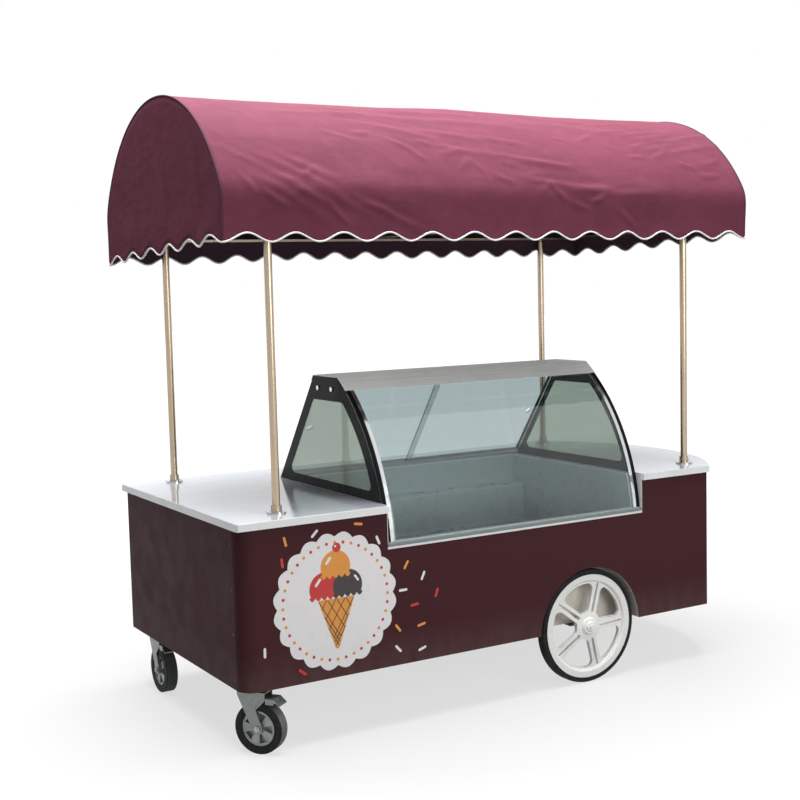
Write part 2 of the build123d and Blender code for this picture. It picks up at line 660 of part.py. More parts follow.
def glass_bolts():
    """Round bolt heads that clamp the top to the side panes."""
    height = DISPLAY_TOP - BORDER_TOP / 2
    top_front = on_glass(SIDE_GLASS_RADIUS, glass_angle(SIDE_GLASS_RADIUS, DISPLAY_TOP))[0]
    middle = (top_front + DISPLAY_TOP_REAR) / 2
    heads = []
    for y in (middle - BOLT_SPACING / 2, middle + BOLT_SPACING / 2):
        left = DISPLAY_LEFT + LINING_THICK
        right = DISPLAY_RIGHT - LINING_THICK
        heads.append(along_x(Pos(y, height) * Circle(BOLT_RADIUS), left - BOLT_HEIGHT, left))
        heads.append(along_x(Pos(y, height) * Circle(BOLT_RADIUS), right, right + BOLT_HEIGHT))
    return Compound(children=[head.solid() for head in heads])


def top_plate():
    """Folded sheet on top: level shelf, front lip over the glass, rear fold over the doors."""
    end = glass_angle(GLASS_RADIUS, DISPLAY_TOP)
    lip_start = end - degrees(TOP_LIP / GLASS_RADIUS)
    inner = GLASS_RADIUS + GLASS_SEAL
    lip = glass_band(inner, inner + TOP_SHEET, lip_start, end + degrees(TOP_SHEET / GLASS_RADIUS))
    front = on_glass(inner + TOP_SHEET, end)[0]
    back = DISPLAY_TOP_REAR + TOP_SHEET
    sheet = along_x(lip, DISPLAY_LEFT, DISPLAY_RIGHT)
    sheet -= block(-FAR, FAR, -FAR, FAR, DISPLAY_TOP + TOP_SHEET, FAR)
    sheet += block(DISPLAY_LEFT, DISPLAY_RIGHT, front, back, DISPLAY_TOP, DISPLAY_TOP + TOP_SHEET)
    fold_start = DOOR_SLOPE - TOP_REAR_FOLD
    sheet += DOOR_PLANE * block(DISPLAY_LEFT, DISPLAY_RIGHT, fold_start, DOOR_SLOPE, -TOP_SHEET, 0)
    return sheet


def edge_strips():
    """Polished strips beside the dark bands on the bent glass."""
    left_edge = DISPLAY_LEFT + STRIP_INSET
    right_edge = DISPLAY_RIGHT - STRIP_INSET
    left = along_x(edge_band(), left_edge, left_edge + STRIP_WIDTH)
    right = along_x(edge_band(), right_edge - STRIP_WIDTH, right_edge)
    return Compound(children=[left.solid(), right.solid()])


# Sliding doors. Their plane leans along the rear edge of the side panes;
# in it, the second direction climbs the slope and the third points into the display.
DOOR_CLIMB = Vector(0, DISPLAY_TOP_REAR - DOOR_FOOT_Y, DISPLAY_TOP - COUNTER_TOP)
DOOR_INWARD = Vector(1, 0, 0).cross(DOOR_CLIMB)
DOOR_PLANE = Plane(origin=(0, DOOR_FOOT_Y, COUNTER_TOP), x_dir=(1, 0, 0), z_dir=DOOR_INWARD)
DOOR_SLOPE = DOOR_CLIMB.length
GROOVE_FLOOR = TRACK_RISE - TRACK_GROOVE
HEAD_RISE = DOOR_SLOPE - TRACK_RISE / 2
DOOR_CENTRES = (
    TRACK_OFFSET + TRACK_DEPTH / 2 - DOOR_PITCH / 2,
    TRACK_OFFSET + TRACK_DEPTH / 2 + DOOR_PITCH / 2,
)


def tracks():
    """Lower and upper channel, each with a groove for either door."""
    low = block(PANE_LEFT, PANE_RIGHT, -TRACK_RISE, TRACK_RISE, TRACK_OFFSET, TRACK_OFFSET + TRACK_DEPTH)
    far_head = HEAD_RISE + 2 * TRACK_RISE
    high = block(PANE_LEFT, PANE_RIGHT, HEAD_RISE, far_head, TRACK_OFFSET, TRACK_OFFSET + TRACK_DEPTH)
    half = DOOR_THICK / 2 + DOOR_SIDE_PLAY
    for centre in DOOR_CENTRES:
        low -= block(-FAR, FAR, GROOVE_FLOOR, TRACK_RISE, centre - half, centre + half)
        high -= block(-FAR, FAR, HEAD_RISE, HEAD_RISE + TRACK_GROOVE, centre - half, centre + half)
    lower = DOOR_PLANE * low
    upper = DOOR_PLANE * high
    lower -= block(-FAR, FAR, -FAR, FAR, 0, COUNTER_TOP)
    upper -= block(-FAR, FAR, -FAR, FAR, DISPLAY_TOP, FAR)
    return lower, upper


def sliding_doors():
    """Two overlapping panes with a finger hole near each outer end."""
    width = (PANE_RIGHT - PANE_LEFT - 2 * DOOR_END_GAP + DOOR_OVERLAP) / 2
    foot = GROOVE_FLOOR + DOOR_FOOT_PLAY
    head = HEAD_RISE + TRACK_GROOVE - DOOR_HEAD_PLAY
    starts = (PANE_LEFT + DOOR_END_GAP, PANE_RIGHT - DOOR_END_GAP - width)
    holes = (starts[0] + FINGER_INSET, starts[1] + width - FINGER_INSET)
    doors = []
    for start, hole, centre in zip(starts, holes, DOOR_CENTRES):
        pane = block(start, start + width, foot, head, centre - DOOR_THICK / 2, centre + DOOR_THICK / 2)
        pane -= Pos(hole, (foot + head) / 2, centre) * Cylinder(FINGER_RADIUS, 2 * DOOR_THICK)
        doors.append(DOOR_PLANE * pane)
    return doors


# Posts and canopy


def post(x, y):
    """Tube with a round base flange and collar."""
    radius = POST_DIAMETER / 2
    column = rod_z(x, y, radius, COUNTER_TOP, CANOPY_RAIL_BOTTOM)
    column += rod_z(x, y, FLANGE_RADIUS, COUNTER_TOP, COUNTER_TOP + FLANGE_THICK)
    column += rod_z(x, y, COLLAR_RADIUS, COUNTER_TOP, COUNTER_TOP + COLLAR_HEIGHT)
    return column - rod_z(x, y, radius - POST_WALL, COUNTER_TOP, CANOPY_RAIL_BOTTOM)


def canopy_rail(y):
    """Flat tube on the post heads, along the canopy."""
    inset = FABRIC + FABRIC_GAP
    width = CANOPY_RAIL_WIDTH
    height = CANOPY_RAIL_HEIGHT
    walls = 2 * CANOPY_RAIL_WALL
    middle = CANOPY_RAIL_BOTTOM + height / 2
    section = Pos(y, middle) * Rectangle(width, height)
    section -= Pos(y, middle) * Rectangle(width - walls, height - walls)
    return along_x(section, CANOPY_LEFT + inset, CANOPY_RIGHT - inset)


def vault(inset, bottom):
    """Canopy section (y, z) moved inwards by the inset: upright sides, rounded springs and a round top."""
    front = CANOPY_FRONT + inset
    rear = CANOPY_REAR - inset
    start = (front, ARCH_FRONT_Z)
    end = (rear, ARCH_REAR_Z)
    top = ThreePointArc(start, (ARCH_TOP_Y, ARCH_TOP_Z - inset), end)
    sides = Polyline(end, (rear, bottom), (front, bottom), start)
    section = make_face([top, sides])
    springs = section.vertices().sort_by(Axis.Y)[-2:]
    return fillet(springs, ARCH_ROUND - inset)


def hoop(x):
    """Bent square tube under the fabric, closed by a flat tie that rests on the rails."""
    inset = FABRIC + FABRIC_GAP
    outer = vault(inset, CANOPY_RAIL_TOP) - vault(inset + HOOP, CANOPY_RAIL_TOP + HOOP_TIE)
    return along_x(outer, x, x + HOOP)


def wave(start, length, waves, offset):
    """Hem line from arcs that alternate below and above; it hangs lowest at both ends."""
    quarter = length / waves / 4
    middle = HEM_LOW + HEM_WAVE / 2 + offset
    arcs = []
    for k in range(2 * waves + 1):
        crest = start + 2 * k * quarter
        height = middle - HEM_WAVE / 2 if k % 2 == 0 else middle + HEM_WAVE / 2
        arcs.append(ThreePointArc((crest - quarter, middle), (crest, height), (crest + quarter, middle)))
    return arcs


def below_wave(start, length, waves, offset):
    """Area under the hem line."""
    arcs = wave(start, length, waves, offset)
    first = arcs[0] @ 0
    last = arcs[-1] @ 1
    low = HEM_LOW - 4 * HEM_WAVE
    return make_face(arcs + [Polyline(last, (last.X, low), (first.X, low), first)])


def canopy_cover():
    """Fabric vault with closed ends, open below, cut to a scalloped hem that hangs lower at the rear."""
    lowest = HEM_LOW - HEM_REAR_DROP
    front_inside = CANOPY_FRONT + FABRIC
    rear_inside = CANOPY_REAR - FABRIC
    outside = along_x(vault(0, lowest), CANOPY_LEFT, CANOPY_RIGHT)
    hollow = along_x(vault(FABRIC, lowest), CANOPY_LEFT + FABRIC, CANOPY_RIGHT - FABRIC)
    cover = outside - hollow
    length = CANOPY_RIGHT - CANOPY_LEFT
    depth = CANOPY_REAR - CANOPY_FRONT
    cover -= along_y(below_wave(CANOPY_LEFT, length, FRONT_WAVE_COUNT, 0), -FAR, front_inside)
    cover -= along_y(below_wave(CANOPY_LEFT, length, REAR_WAVE_COUNT, -HEM_REAR_DROP), rear_inside, FAR)
    slope = degrees(atan(HEM_REAR_DROP / depth))
    corner = Pos(CANOPY_FRONT, HEM_LOW)
    level = below_wave(CANOPY_FRONT, depth, END_WAVE_COUNT, 0)
    sloping = corner * Rot(0, 0, -slope) * corner.inverse() * level
    ends = along_x(sloping, -FAR, FAR)
    return cover - (ends & block(-FAR, FAR, front_inside, rear_inside, 0, FAR))


# Large wheels, drawn about their own axle with the outer face up


def polar(radius, angle):
    return (radius * cos(radians(angle)), radius * sin(radians(angle)))


def kidney(middle):
    """Rounded opening between two double spokes."""
    step = 180 / SPOKE_COUNT
    inner = step - degrees(asin(SPOKE_HALF_INNER / KIDNEY_INNER))
    outer = step - degrees(asin(SPOKE_HALF_OUTER / KIDNEY_OUTER))
    a = polar(KIDNEY_INNER, middle - inner)
    b = polar(KIDNEY_OUTER, middle - outer)
    c = polar(KIDNEY_OUTER, middle + outer)
    d = polar(KIDNEY_INNER, middle + inner)
    rim = ThreePointArc(b, polar(KIDNEY_OUTER, middle), c)
    face = make_face([Line(a, b), rim, Line(c, d), Line(d, a)])
    corners = face.vertices().sort_by(lambda v: v.X**2 + v.Y**2)
    face = fillet(corners[:2], KIDNEY_ROUND_INNER)
    corners = face.vertices().sort_by(lambda v: v.X**2 + v.Y**2)
    return fillet(corners[-2:], KIDNEY_ROUND_OUTER)


def slot(angle):
    """Slot that splits one double spoke and narrows towards the rim."""
    ends = Pos(SLOT_INNER, 0) * Circle(SLOT_ROUND_INNER)
    ends += Pos(SLOT_OUTER, 0) * Circle(SLOT_ROUND_OUTER)
    ends += Polygon(
        (SLOT_INNER, -SLOT_ROUND_INNER), (SLOT_OUTER, -SLOT_ROUND_OUTER),
        (SLOT_OUTER, SLOT_ROUND_OUTER), (SLOT_INNER, SLOT_ROUND_INNER), align=None,
    )
    return Rot(0, 0, angle) * ends


def turned(points):
    """Solid of revolution about Z from (radius, height) points."""
    return revolve(Plane.XZ * Polygon(*points, align=None), Axis.Z)


def wheel_rim():
    """Cast wheel: rim, dished double spokes, hub with cap and nut, blind axle bore."""
    half = TYRE_WIDTH / 2 - RIM_SIDE_INSET
    lip = RIM_LIP
    ring = turned([
        (RIM_INNER, -half + lip), (RIM_INNER + lip, -half), (RIM_RADIUS, -half),
        (RIM_RADIUS, half), (RIM_INNER + lip, half), (RIM_INNER, half - lip),
    ])
    low = -SPOKE_THICK / 2
    spokes = turned([
        (SPOKE_ROOT_RADIUS, low + SPOKE_DISH), (RIM_INNER + lip / 2, low),
        (RIM_INNER + lip / 2, low + SPOKE_THICK), (SPOKE_ROOT_RADIUS, low + SPOKE_DISH + SPOKE_THICK),
    ])
    for k in range(SPOKE_COUNT):
        angle = SPOKE_TURN + k * 360 / SPOKE_COUNT
        cut = kidney(angle + 180 / SPOKE_COUNT) + slot(angle)
        spokes -= along_z(cut, -TYRE_WIDTH, TYRE_WIDTH)
    hub = turned([
        (0, -HUB_HALF_LENGTH), (HUB_RADIUS, -HUB_HALF_LENGTH), (HUB_RADIUS, HUB_HALF_LENGTH - lip),
        (HUB_RADIUS - lip, HUB_HALF_LENGTH), (CAP_RADIUS, HUB_HALF_LENGTH),
        (CAP_RADIUS - lip, HUB_HALF_LENGTH + CAP_HEIGHT), (0, HUB_HALF_LENGTH + CAP_HEIGHT),
    ])
    nut_foot = HUB_HALF_LENGTH + CAP_HEIGHT
    hub += along_z(RegularPolygon(NUT_RADIUS, 6), nut_foot, nut_foot + NUT_HEIGHT)
    wheel = ring + spokes + hub
    bore = Circle(AXLE_RADIUS + AXLE_PLAY)
    return wheel - along_z(bore, -HUB_HALF_LENGTH, HUB_HALF_LENGTH)


def tyre_ring(inner, outer, width, shoulder):
    """Tyre ring about Z with sloping shoulders in two facets."""
    half = width / 2
    cut = shoulder * (1 - sqrt(0.5))
    return turned([
        (inner, -half), (outer - shoulder, -half), (outer - cut, -half + cut), (outer, -half + shoulder),
        (outer, half - shoulder), (outer - cut, half - cut), (outer - shoulder, half), (inner, half),
    ])


WHEEL_FRONT_PLANE = Plane(origin=(WHEEL_X, WHEEL_FRONT_Y, WHEEL_RADIUS), x_dir=(1, 0, 0), z_dir=(0, -1, 0))
WHEEL_REAR_PLANE = Plane(origin=(WHEEL_X, WHEEL_REAR_Y, WHEEL_RADIUS), x_dir=(-1, 0, 0), z_dir=(0, 1, 0))


def axle():
    """Fixed axle with a shoulder inside each wheel."""
    reach = HUB_HALF_LENGTH - AXLE_END_PLAY
    bar = rod_y(WHEEL_X, WHEEL_RADIUS, AXLE_RADIUS, WHEEL_FRONT_Y - reach, WHEEL_REAR_Y + reach)
    front = WHEEL_FRONT_Y + HUB_HALF_LENGTH + AXLE_END_PLAY
    rear = WHEEL_REAR_Y - HUB_HALF_LENGTH - AXLE_END_PLAY
    bar += rod_y(WHEEL_X, WHEEL_RADIUS, AXLE_COLLAR_RADIUS, front, front + AXLE_COLLAR)
    bar += rod_y(WHEEL_X, WHEEL_RADIUS, AXLE_COLLAR_RADIUS, rear - AXLE_COLLAR, rear)
    return bar


def axle_brackets():
    """Blocks that hold the axle under the two rails."""
    half = BRACKET_LENGTH / 2
    width = BRACKET_WIDTH / 2
    blocks = []
    for y in (BODY_FRONT + RAIL_INSET + RAIL_SIZE / 2, BODY_REAR - RAIL_INSET - RAIL_SIZE / 2):
        base = block(
            WHEEL_X - half, WHEEL_X + half, y - width, y + width, WHEEL_RADIUS - BRACKET_DROP, CHASSIS_BOTTOM
        )
        foot = base.edges().filter_by(Axis.Y).sort_by(Axis.Z)[:2]
        base = fillet(foot, BRACKET_ROUND)
        base -= rod_y(WHEEL_X, WHEEL_RADIUS, AXLE_RADIUS, y - width, y + width)
        blocks.append(base.solid())
    return Compound(children=blocks)


# Casters, drawn at the origin with the wheel trailing towards +X

PLATE_BOTTOM = CHASSIS_BOTTOM - PLATE_THICK
CUP_BOTTOM = PLATE_BOTTOM - CUP_HEIGHT
RACE_TOP = CUP_BOTTOM - RACE_PLAY
RACE_BOTTOM = RACE_TOP - RACE_HEIGHT
CROWN_BOTTOM = RACE_BOTTOM - FORK_SHEET
LEG_INNER = CASTER_WIDTH / 2 + FORK_SIDE_GAP
LEG_OUTER = LEG_INNER + FORK_SHEET
PEDAL_PIVOT_Z = CROWN_BOTTOM - PEDAL_PIVOT_DROP


def caster_plate():
    """Top plate with bolt holes, bearing cup and king pin."""
    outline = fillet(Rectangle(PLATE_LENGTH, PLATE_WIDTH).vertices(), PLATE_ROUND)
    plate = along_z(outline, PLATE_BOTTOM, CHASSIS_BOTTOM)
    hole_x = PLATE_LENGTH / 2 - PLATE_HOLE_INSET
    hole_y = PLATE_WIDTH / 2 - PLATE_HOLE_INSET
    for x in (-hole_x, hole_x):
        for y in (-hole_y, hole_y):
            plate -= rod_z(x, y, PLATE_HOLE_RADIUS, PLATE_BOTTOM, CHASSIS_BOTTOM)
    plate += rod_z(0, 0, CUP_RADIUS, CUP_BOTTOM, PLATE_BOTTOM)
    head_top = CROWN_BOTTOM - RACE_PLAY
    plate += rod_z(0, 0, KINGPIN_RADIUS, head_top, CUP_BOTTOM)
    plate += rod_z(0, 0, KINGPIN_HEAD, head_top - KINGPIN_HEAD_HEIGHT, head_top)
    return plate


def caster_fork():
    """Raceway and crown with two slanting legs to the wheel's axle and horns that hold the brake's pin."""
    half = FORK_CROWN / 2
    fork = rod_z(0, 0, RACE_RADIUS, RACE_BOTTOM, RACE_TOP)
    fork += block(-half, FORK_HORN, -LEG_OUTER, LEG_OUTER, CROWN_BOTTOM, RACE_BOTTOM)
    crown = Pos(FORK_STRUT / 2 - half, RACE_BOTTOM - FORK_CHEEK / 2) * Rectangle(FORK_STRUT, FORK_CHEEK)
    foot = Pos(CASTER_TRAIL, CASTER_RADIUS) * Circle(FORK_FOOT_RADIUS)
    leg = make_hull(crown.edges() + foot.edges())
    leg += Polygon(
        (-half, RACE_BOTTOM), (FORK_KNEE, PEDAL_PIVOT_Z - FORK_KNEE_DROP),
        (FORK_HORN, PEDAL_PIVOT_Z - FORK_HORN_DROP), (FORK_HORN, RACE_BOTTOM), align=None,
    )
    fork += along_y(leg, -LEG_OUTER, -LEG_INNER)
    fork += along_y(leg, LEG_INNER, LEG_OUTER)
    nut = LEG_OUTER + CASTER_NUT
    fork += rod_y(CASTER_TRAIL, CASTER_RADIUS, CASTER_AXLE_RADIUS, -nut, nut)
    fork += rod_y(CASTER_TRAIL, CASTER_RADIUS, CASTER_NUT_RADIUS, -nut, -LEG_OUTER)
    fork += rod_y(CASTER_TRAIL, CASTER_RADIUS, CASTER_NUT_RADIUS, LEG_OUTER, nut)
    fork += rod_y(PEDAL_PIVOT_X, PEDAL_PIVOT_Z, PEDAL_PIN_RADIUS, -LEG_OUTER, LEG_OUTER)
    return fork - rod_z(0, 0, KINGPIN_RADIUS + AXLE_PLAY, CROWN_BOTTOM, RACE_TOP)


def caster_hub():
    """Cast hub about Z with deep pockets between five broad ribs on both sides."""
    half = CASTER_WIDTH / 2 - CASTER_HUB_INSET
    ring = turned([
        (CASTER_HUB_RADIUS - CASTER_RING, -half), (CASTER_HUB_RADIUS, -half),
        (CASTER_HUB_RADIUS, half), (CASTER_HUB_RADIUS - CASTER_RING, half),
    ])
    web = Circle(CASTER_HUB_RADIUS - CASTER_RING / 2)
    ribs = web
    window = Polygon(
        (CASTER_WINDOW_INNER, -CASTER_WINDOW_INNER_HALF),
        (CASTER_WINDOW_OUTER, -CASTER_WINDOW_OUTER_HALF),
        (CASTER_WINDOW_OUTER, CASTER_WINDOW_OUTER_HALF),
        (CASTER_WINDOW_INNER, CASTER_WINDOW_INNER_HALF),
        align=None,
    )
    for k in range(CASTER_WINDOW_COUNT):
        ribs -= Rot(0, 0, k * 360 / CASTER_WINDOW_COUNT) * window
    hub = ring + along_z(ribs, -CASTER_SPOKE / 2, CASTER_SPOKE / 2)
    hub += along_z(web, -CASTER_WEB / 2, CASTER_WEB / 2)
    core = CASTER_WIDTH / 2 + FORK_SIDE_GAP / 2
    hub += along_z(Circle(CASTER_CORE), -core, core)
    return hub - along_z(Circle(CASTER_AXLE_RADIUS + AXLE_PLAY), -core, core)


def caster_pedal():
    """Brake lever: sleeve on the fork's pin, flanged tread with its end bent down, shoe over the tyre."""
    inner = LEG_INNER - PEDAL_SIDE_GAP
    sleeve = PEDAL_PIN_RADIUS + PEDAL_SHEET
    top = PEDAL_PIVOT_Z + PEDAL_SHEET / 2
    under = top - PEDAL_SHEET
    start = FORK_HORN + PEDAL_FORK_GAP
    bend = start + PEDAL_TREAD
    end = bend + PEDAL_LIP
    lever = rod_y(PEDAL_PIVOT_X, PEDAL_PIVOT_Z, sleeve, -inner, inner)
    lever += block(PEDAL_PIVOT_X, start, -inner, inner, under, top)
    tread = Polygon(
        (start, under), (bend, under), (end, under - PEDAL_DIP),
        (end, top - PEDAL_DIP), (bend, top), (start, top), align=None,
    )
    lever += along_y(tread, -LEG_OUTER, LEG_OUTER)
    lever += block(start, bend, -LEG_OUTER, -LEG_INNER, under - PEDAL_FLANGE, under)
    lever += block(start, bend, LEG_INNER, LEG_OUTER, under - PEDAL_FLANGE, under)
    shoe = PEDAL_PIVOT_X + SHOE_INSET
    half = SHOE_WIDTH / 2
    lever += block(shoe, shoe + SHOE_LENGTH, -half, half, PEDAL_PIVOT_Z - SHOE_DROP, under)
    return lever - rod_y(PEDAL_PIVOT_X, PEDAL_PIVOT_Z, PEDAL_PIN_RADIUS + AXLE_PLAY, -inner, inner)


# Storage door, hinges, handle and vent on the server's side

HINGE_Y = BODY_REAR + HINGE_RADIUS
HINGE_ROWS = (STORE_BOTTOM + HINGE_END_INSET, STORE_TOP - HINGE_END_INSET - 2 * HINGE_HALF)


def storage_door():
    """Inset door with the upper hinge halves on its left edge."""
    left = STORE_LEFT + STORE_GAP
    right = STORE_RIGHT - STORE_GAP
    low = STORE_BOTTOM + STORE_GAP
    high = STORE_TOP - STORE_GAP
    door = block(left, right, BODY_REAR - STORE_BODY, BODY_REAR, low, high)
    leaf = BODY_REAR + HINGE_LEAF_THICK
    for z in HINGE_ROWS:
        start = z + HINGE_HALF + HINGE_END_PLAY
        end = z + 2 * HINGE_HALF
        door += rod_z(STORE_LEFT, HINGE_Y, HINGE_RADIUS, start, end)
        door += block(STORE_LEFT, STORE_LEFT + HINGE_LEAF, BODY_REAR, leaf, start, end)
        door -= rod_z(STORE_LEFT, HINGE_Y, HINGE_PIN_RADIUS + HINGE_PLAY, start, end)
    return door


def door_hinges():
    """Lower hinge halves with their pins, fixed to the rear panel."""
    leaf = BODY_REAR + HINGE_LEAF_THICK
    halves = []
    for z in HINGE_ROWS:
        half = rod_z(STORE_LEFT, HINGE_Y, HINGE_RADIUS, z, z + HINGE_HALF)
        half += rod_z(STORE_LEFT, HINGE_Y, HINGE_PIN_RADIUS, z, z + 2 * HINGE_HALF)
        half += block(STORE_LEFT - HINGE_LEAF, STORE_LEFT, BODY_REAR, leaf, z, z + HINGE_HALF)
        halves.append(half.solid())
    return Compound(children=halves)


def door_handle():
    """Bow handle near the free edge of the door."""
    x = STORE_RIGHT - STORE_GAP - HANDLE_INSET
    middle = (STORE_BOTTOM + STORE_TOP) / 2
    low = middle - HANDLE_LENGTH / 2
    high = middle + HANDLE_LENGTH / 2
    out = BODY_REAR + HANDLE_STAND
    corners = [(x, BODY_REAR, low), (x, out, low), (x, out, high), (x, BODY_REAR, high)]
    path = FilletPolyline(*corners, radius=HANDLE_BEND)
    section = Plane(origin=(x, BODY_REAR, low), z_dir=(0, 1, 0)) * Circle(HANDLE_RADIUS)
    return sweep(section, path=path)


def vent_grille():
    """Frame with level slats over the vent opening."""
    left = VENT_LEFT - VENT_FRAME
    right = VENT_RIGHT + VENT_FRAME
    low = VENT_BOTTOM - VENT_FRAME
    high = VENT_TOP + VENT_FRAME
    grille = block(left, right, BODY_REAR, BODY_REAR + VENT_THICK, low, high)
    pitch = (VENT_TOP - VENT_BOTTOM) / VENT_SLAT_COUNT
    for k in range(VENT_SLAT_COUNT):
        foot = VENT_BOTTOM + (k + 0.5) * pitch
        grille -= block(VENT_LEFT, VENT_RIGHT, BODY_REAR, BODY_REAR + VENT_THICK, foot, foot + pitch / 2)
    return grille


# All pieces by name

parts = {}
shell = panels()
parts["front_panel"], parts["left_panel"] = shell[:2]
parts["rear_panel_store"], parts["rear_panel_vent"], parts["rear_panel_wheel"] = shell[2:5]
parts["bow_panel"] = shell[5]
parts["fender_front"] = fender(True)
parts["fender_rear"] = fender(False)
parts["floor_board"] = floor_board()
parts["partition_left"] = partition(DISPLAY_LEFT - PARTITION_THICK)
parts["partition_right"] = partition(DISPLAY_RIGHT)
parts["counter_left"], parts["counter_right"], parts["counter_rear"] = counters()
parts["caster_beam"], parts["nose_beam"], parts["chassis_rails"] = chassis()

parts["tub"] = tub()
parts["display_trim"] = display_trim()
parts["front_glass"] = front_glass()
panes = side_panes()
parts["side_glass_left"], parts["side_border_left"] = panes[:2]
parts["side_glass_right"], parts["side_border_right"] = panes[2:]
parts["glass_bolts"] = glass_bolts()
parts["top_plate"] = top_plate()
parts["edge_strips"] = edge_strips()
parts["track_lower"], parts["track_upper"] = tracks()
parts["sliding_door_left"], parts["sliding_door_right"] = sliding_doors()

parts["post_front_left"] = post(POST_LEFT, POST_FRONT)
parts["post_front_right"] = post(POST_RIGHT, POST_FRONT)
parts["post_rear_left"] = post(REAR_POST_LEFT, POST_REAR)
parts["post_rear_right"] = post(REAR_POST_RIGHT, POST_REAR)
parts["canopy_rails"] = canopy_rail(POST_FRONT) + canopy_rail(POST_REAR)
HOOP_LEFT = CANOPY_LEFT + FABRIC + FABRIC_GAP
HOOP_RIGHT = CANOPY_RIGHT - FABRIC - FABRIC_GAP - HOOP
parts["canopy_hoop_left"] = hoop(HOOP_LEFT)
parts["canopy_hoop_middle"] = hoop((HOOP_LEFT + HOOP_RIGHT) / 2)
parts["canopy_hoop_right"] = hoop(HOOP_RIGHT)
parts["canopy_cover"] = canopy_cover()

rim = wheel_rim()
tyre = tyre_ring(RIM_RADIUS, WHEEL_RADIUS, TYRE_WIDTH, TYRE_SHOULDER)
parts["wheel_front_rim"] = WHEEL_FRONT_PLANE * rim
parts["wheel_front_tyre"] = WHEEL_FRONT_PLANE * tyre
parts["wheel_rear_rim"] = WHEEL_REAR_PLANE * rim
parts["wheel_rear_tyre"] = WHEEL_REAR_PLANE * tyre
parts["axle"] = axle()
parts["axle_brackets"] = axle_brackets()

caster_tyre = tyre_ring(CASTER_HUB_RADIUS, CASTER_RADIUS, CASTER_WIDTH, CASTER_TYRE_SHOULDER)
caster_axle = Pos(CASTER_TRAIL, 0, CASTER_RADIUS) * Rot(90, 0, 0)
for name, y, turn in (
    ("front", CASTER_FRONT_Y, CASTER_FRONT_TURN),
    ("rear", CASTER_REAR_Y, CASTER_REAR_TURN),
):
    stand = Pos(CASTER_X, y, 0)
    swivel = stand * Rot(0, 0, turn)
    parts[f"caster_{name}_plate"] = stand * caster_plate()
    parts[f"caster_{name}_fork"] = swivel * caster_fork()
    parts[f"caster_{name}_hub"] = swivel * caster_axle * caster_hub()
    parts[f"caster_{name}_tyre"] = swivel * caster_axle * caster_tyre
    parts[f"caster_{name}_pedal"] = swivel * caster_pedal()

parts["storage_door"] = storage_door()
parts["storage_handle"] = door_handle()
parts["storage_hinges"] = door_hinges()
parts["vent_grille"] = vent_grille()

os.makedirs("parts", exist_ok=True)
for name, shape in parts.items():
    export_step(shape, f"parts/{name}.step")
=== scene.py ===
import json
from math import atan2, cos, exp, hypot, pi, radians, sin

import bmesh
import bpy
from mathutils import Matrix, Vector, noise


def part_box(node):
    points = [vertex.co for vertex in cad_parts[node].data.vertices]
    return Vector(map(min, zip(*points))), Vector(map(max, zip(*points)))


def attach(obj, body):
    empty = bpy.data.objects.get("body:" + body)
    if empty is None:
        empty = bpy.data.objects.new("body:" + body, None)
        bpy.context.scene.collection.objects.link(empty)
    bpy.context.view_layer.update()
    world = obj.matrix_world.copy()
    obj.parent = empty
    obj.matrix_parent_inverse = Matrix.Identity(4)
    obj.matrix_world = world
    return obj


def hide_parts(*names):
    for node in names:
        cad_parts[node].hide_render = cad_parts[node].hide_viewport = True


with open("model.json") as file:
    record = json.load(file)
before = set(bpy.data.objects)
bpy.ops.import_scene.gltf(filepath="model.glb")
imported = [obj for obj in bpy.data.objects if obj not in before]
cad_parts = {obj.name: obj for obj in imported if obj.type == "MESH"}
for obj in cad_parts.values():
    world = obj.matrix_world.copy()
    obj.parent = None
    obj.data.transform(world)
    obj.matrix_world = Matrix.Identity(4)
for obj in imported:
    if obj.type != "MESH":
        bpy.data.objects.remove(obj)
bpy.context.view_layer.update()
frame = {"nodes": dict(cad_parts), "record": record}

# Looks of the ice cream push cart. Metres, in the frame of the CAD model:
# X along the cart, Y from the customer's side to the server's side, Z up.

# Faces and levels that looks and fasteners start from
FRONT_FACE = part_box("front_panel")[0][1]
REAR_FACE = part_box("rear_panel_store")[1][1]
BODY_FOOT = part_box("left_panel")[0][2]
DUST_TOP = BODY_FOOT + 0.134
COUNTER_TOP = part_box("counter_left")[1][2]
FLANGE_TOP = COUNTER_TOP + 0.006
PIT_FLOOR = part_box("tub")[0][2] + 0.040
LEDGE_TOP = PIT_FLOOR + 0.164
RIM_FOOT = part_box("tub")[1][2] - 0.006

# Scale at which the Wave texture has one wave in a unit, and the usual ends of the Noise texture
WAVE_SCALE = 0.314159
NOISE_LOW = 0.3
NOISE_HIGH = 0.7
MILLIMETRES = 1000
WHITE = (1.0, 1.0, 1.0, 1.0)
SEEN_RAYS = ("Is Camera Ray", "Is Glossy Ray", "Is Transmission Ray")


def linear(rgb):
    """Linear colour of an sRGB one written from 0 to 255."""
    out = []
    for part in rgb:
        part = part / 255
        out.append(part / 12.92 if part <= 0.04045 else ((part + 0.055) / 1.055) ** 2.4)
    return (*out, 1.0)


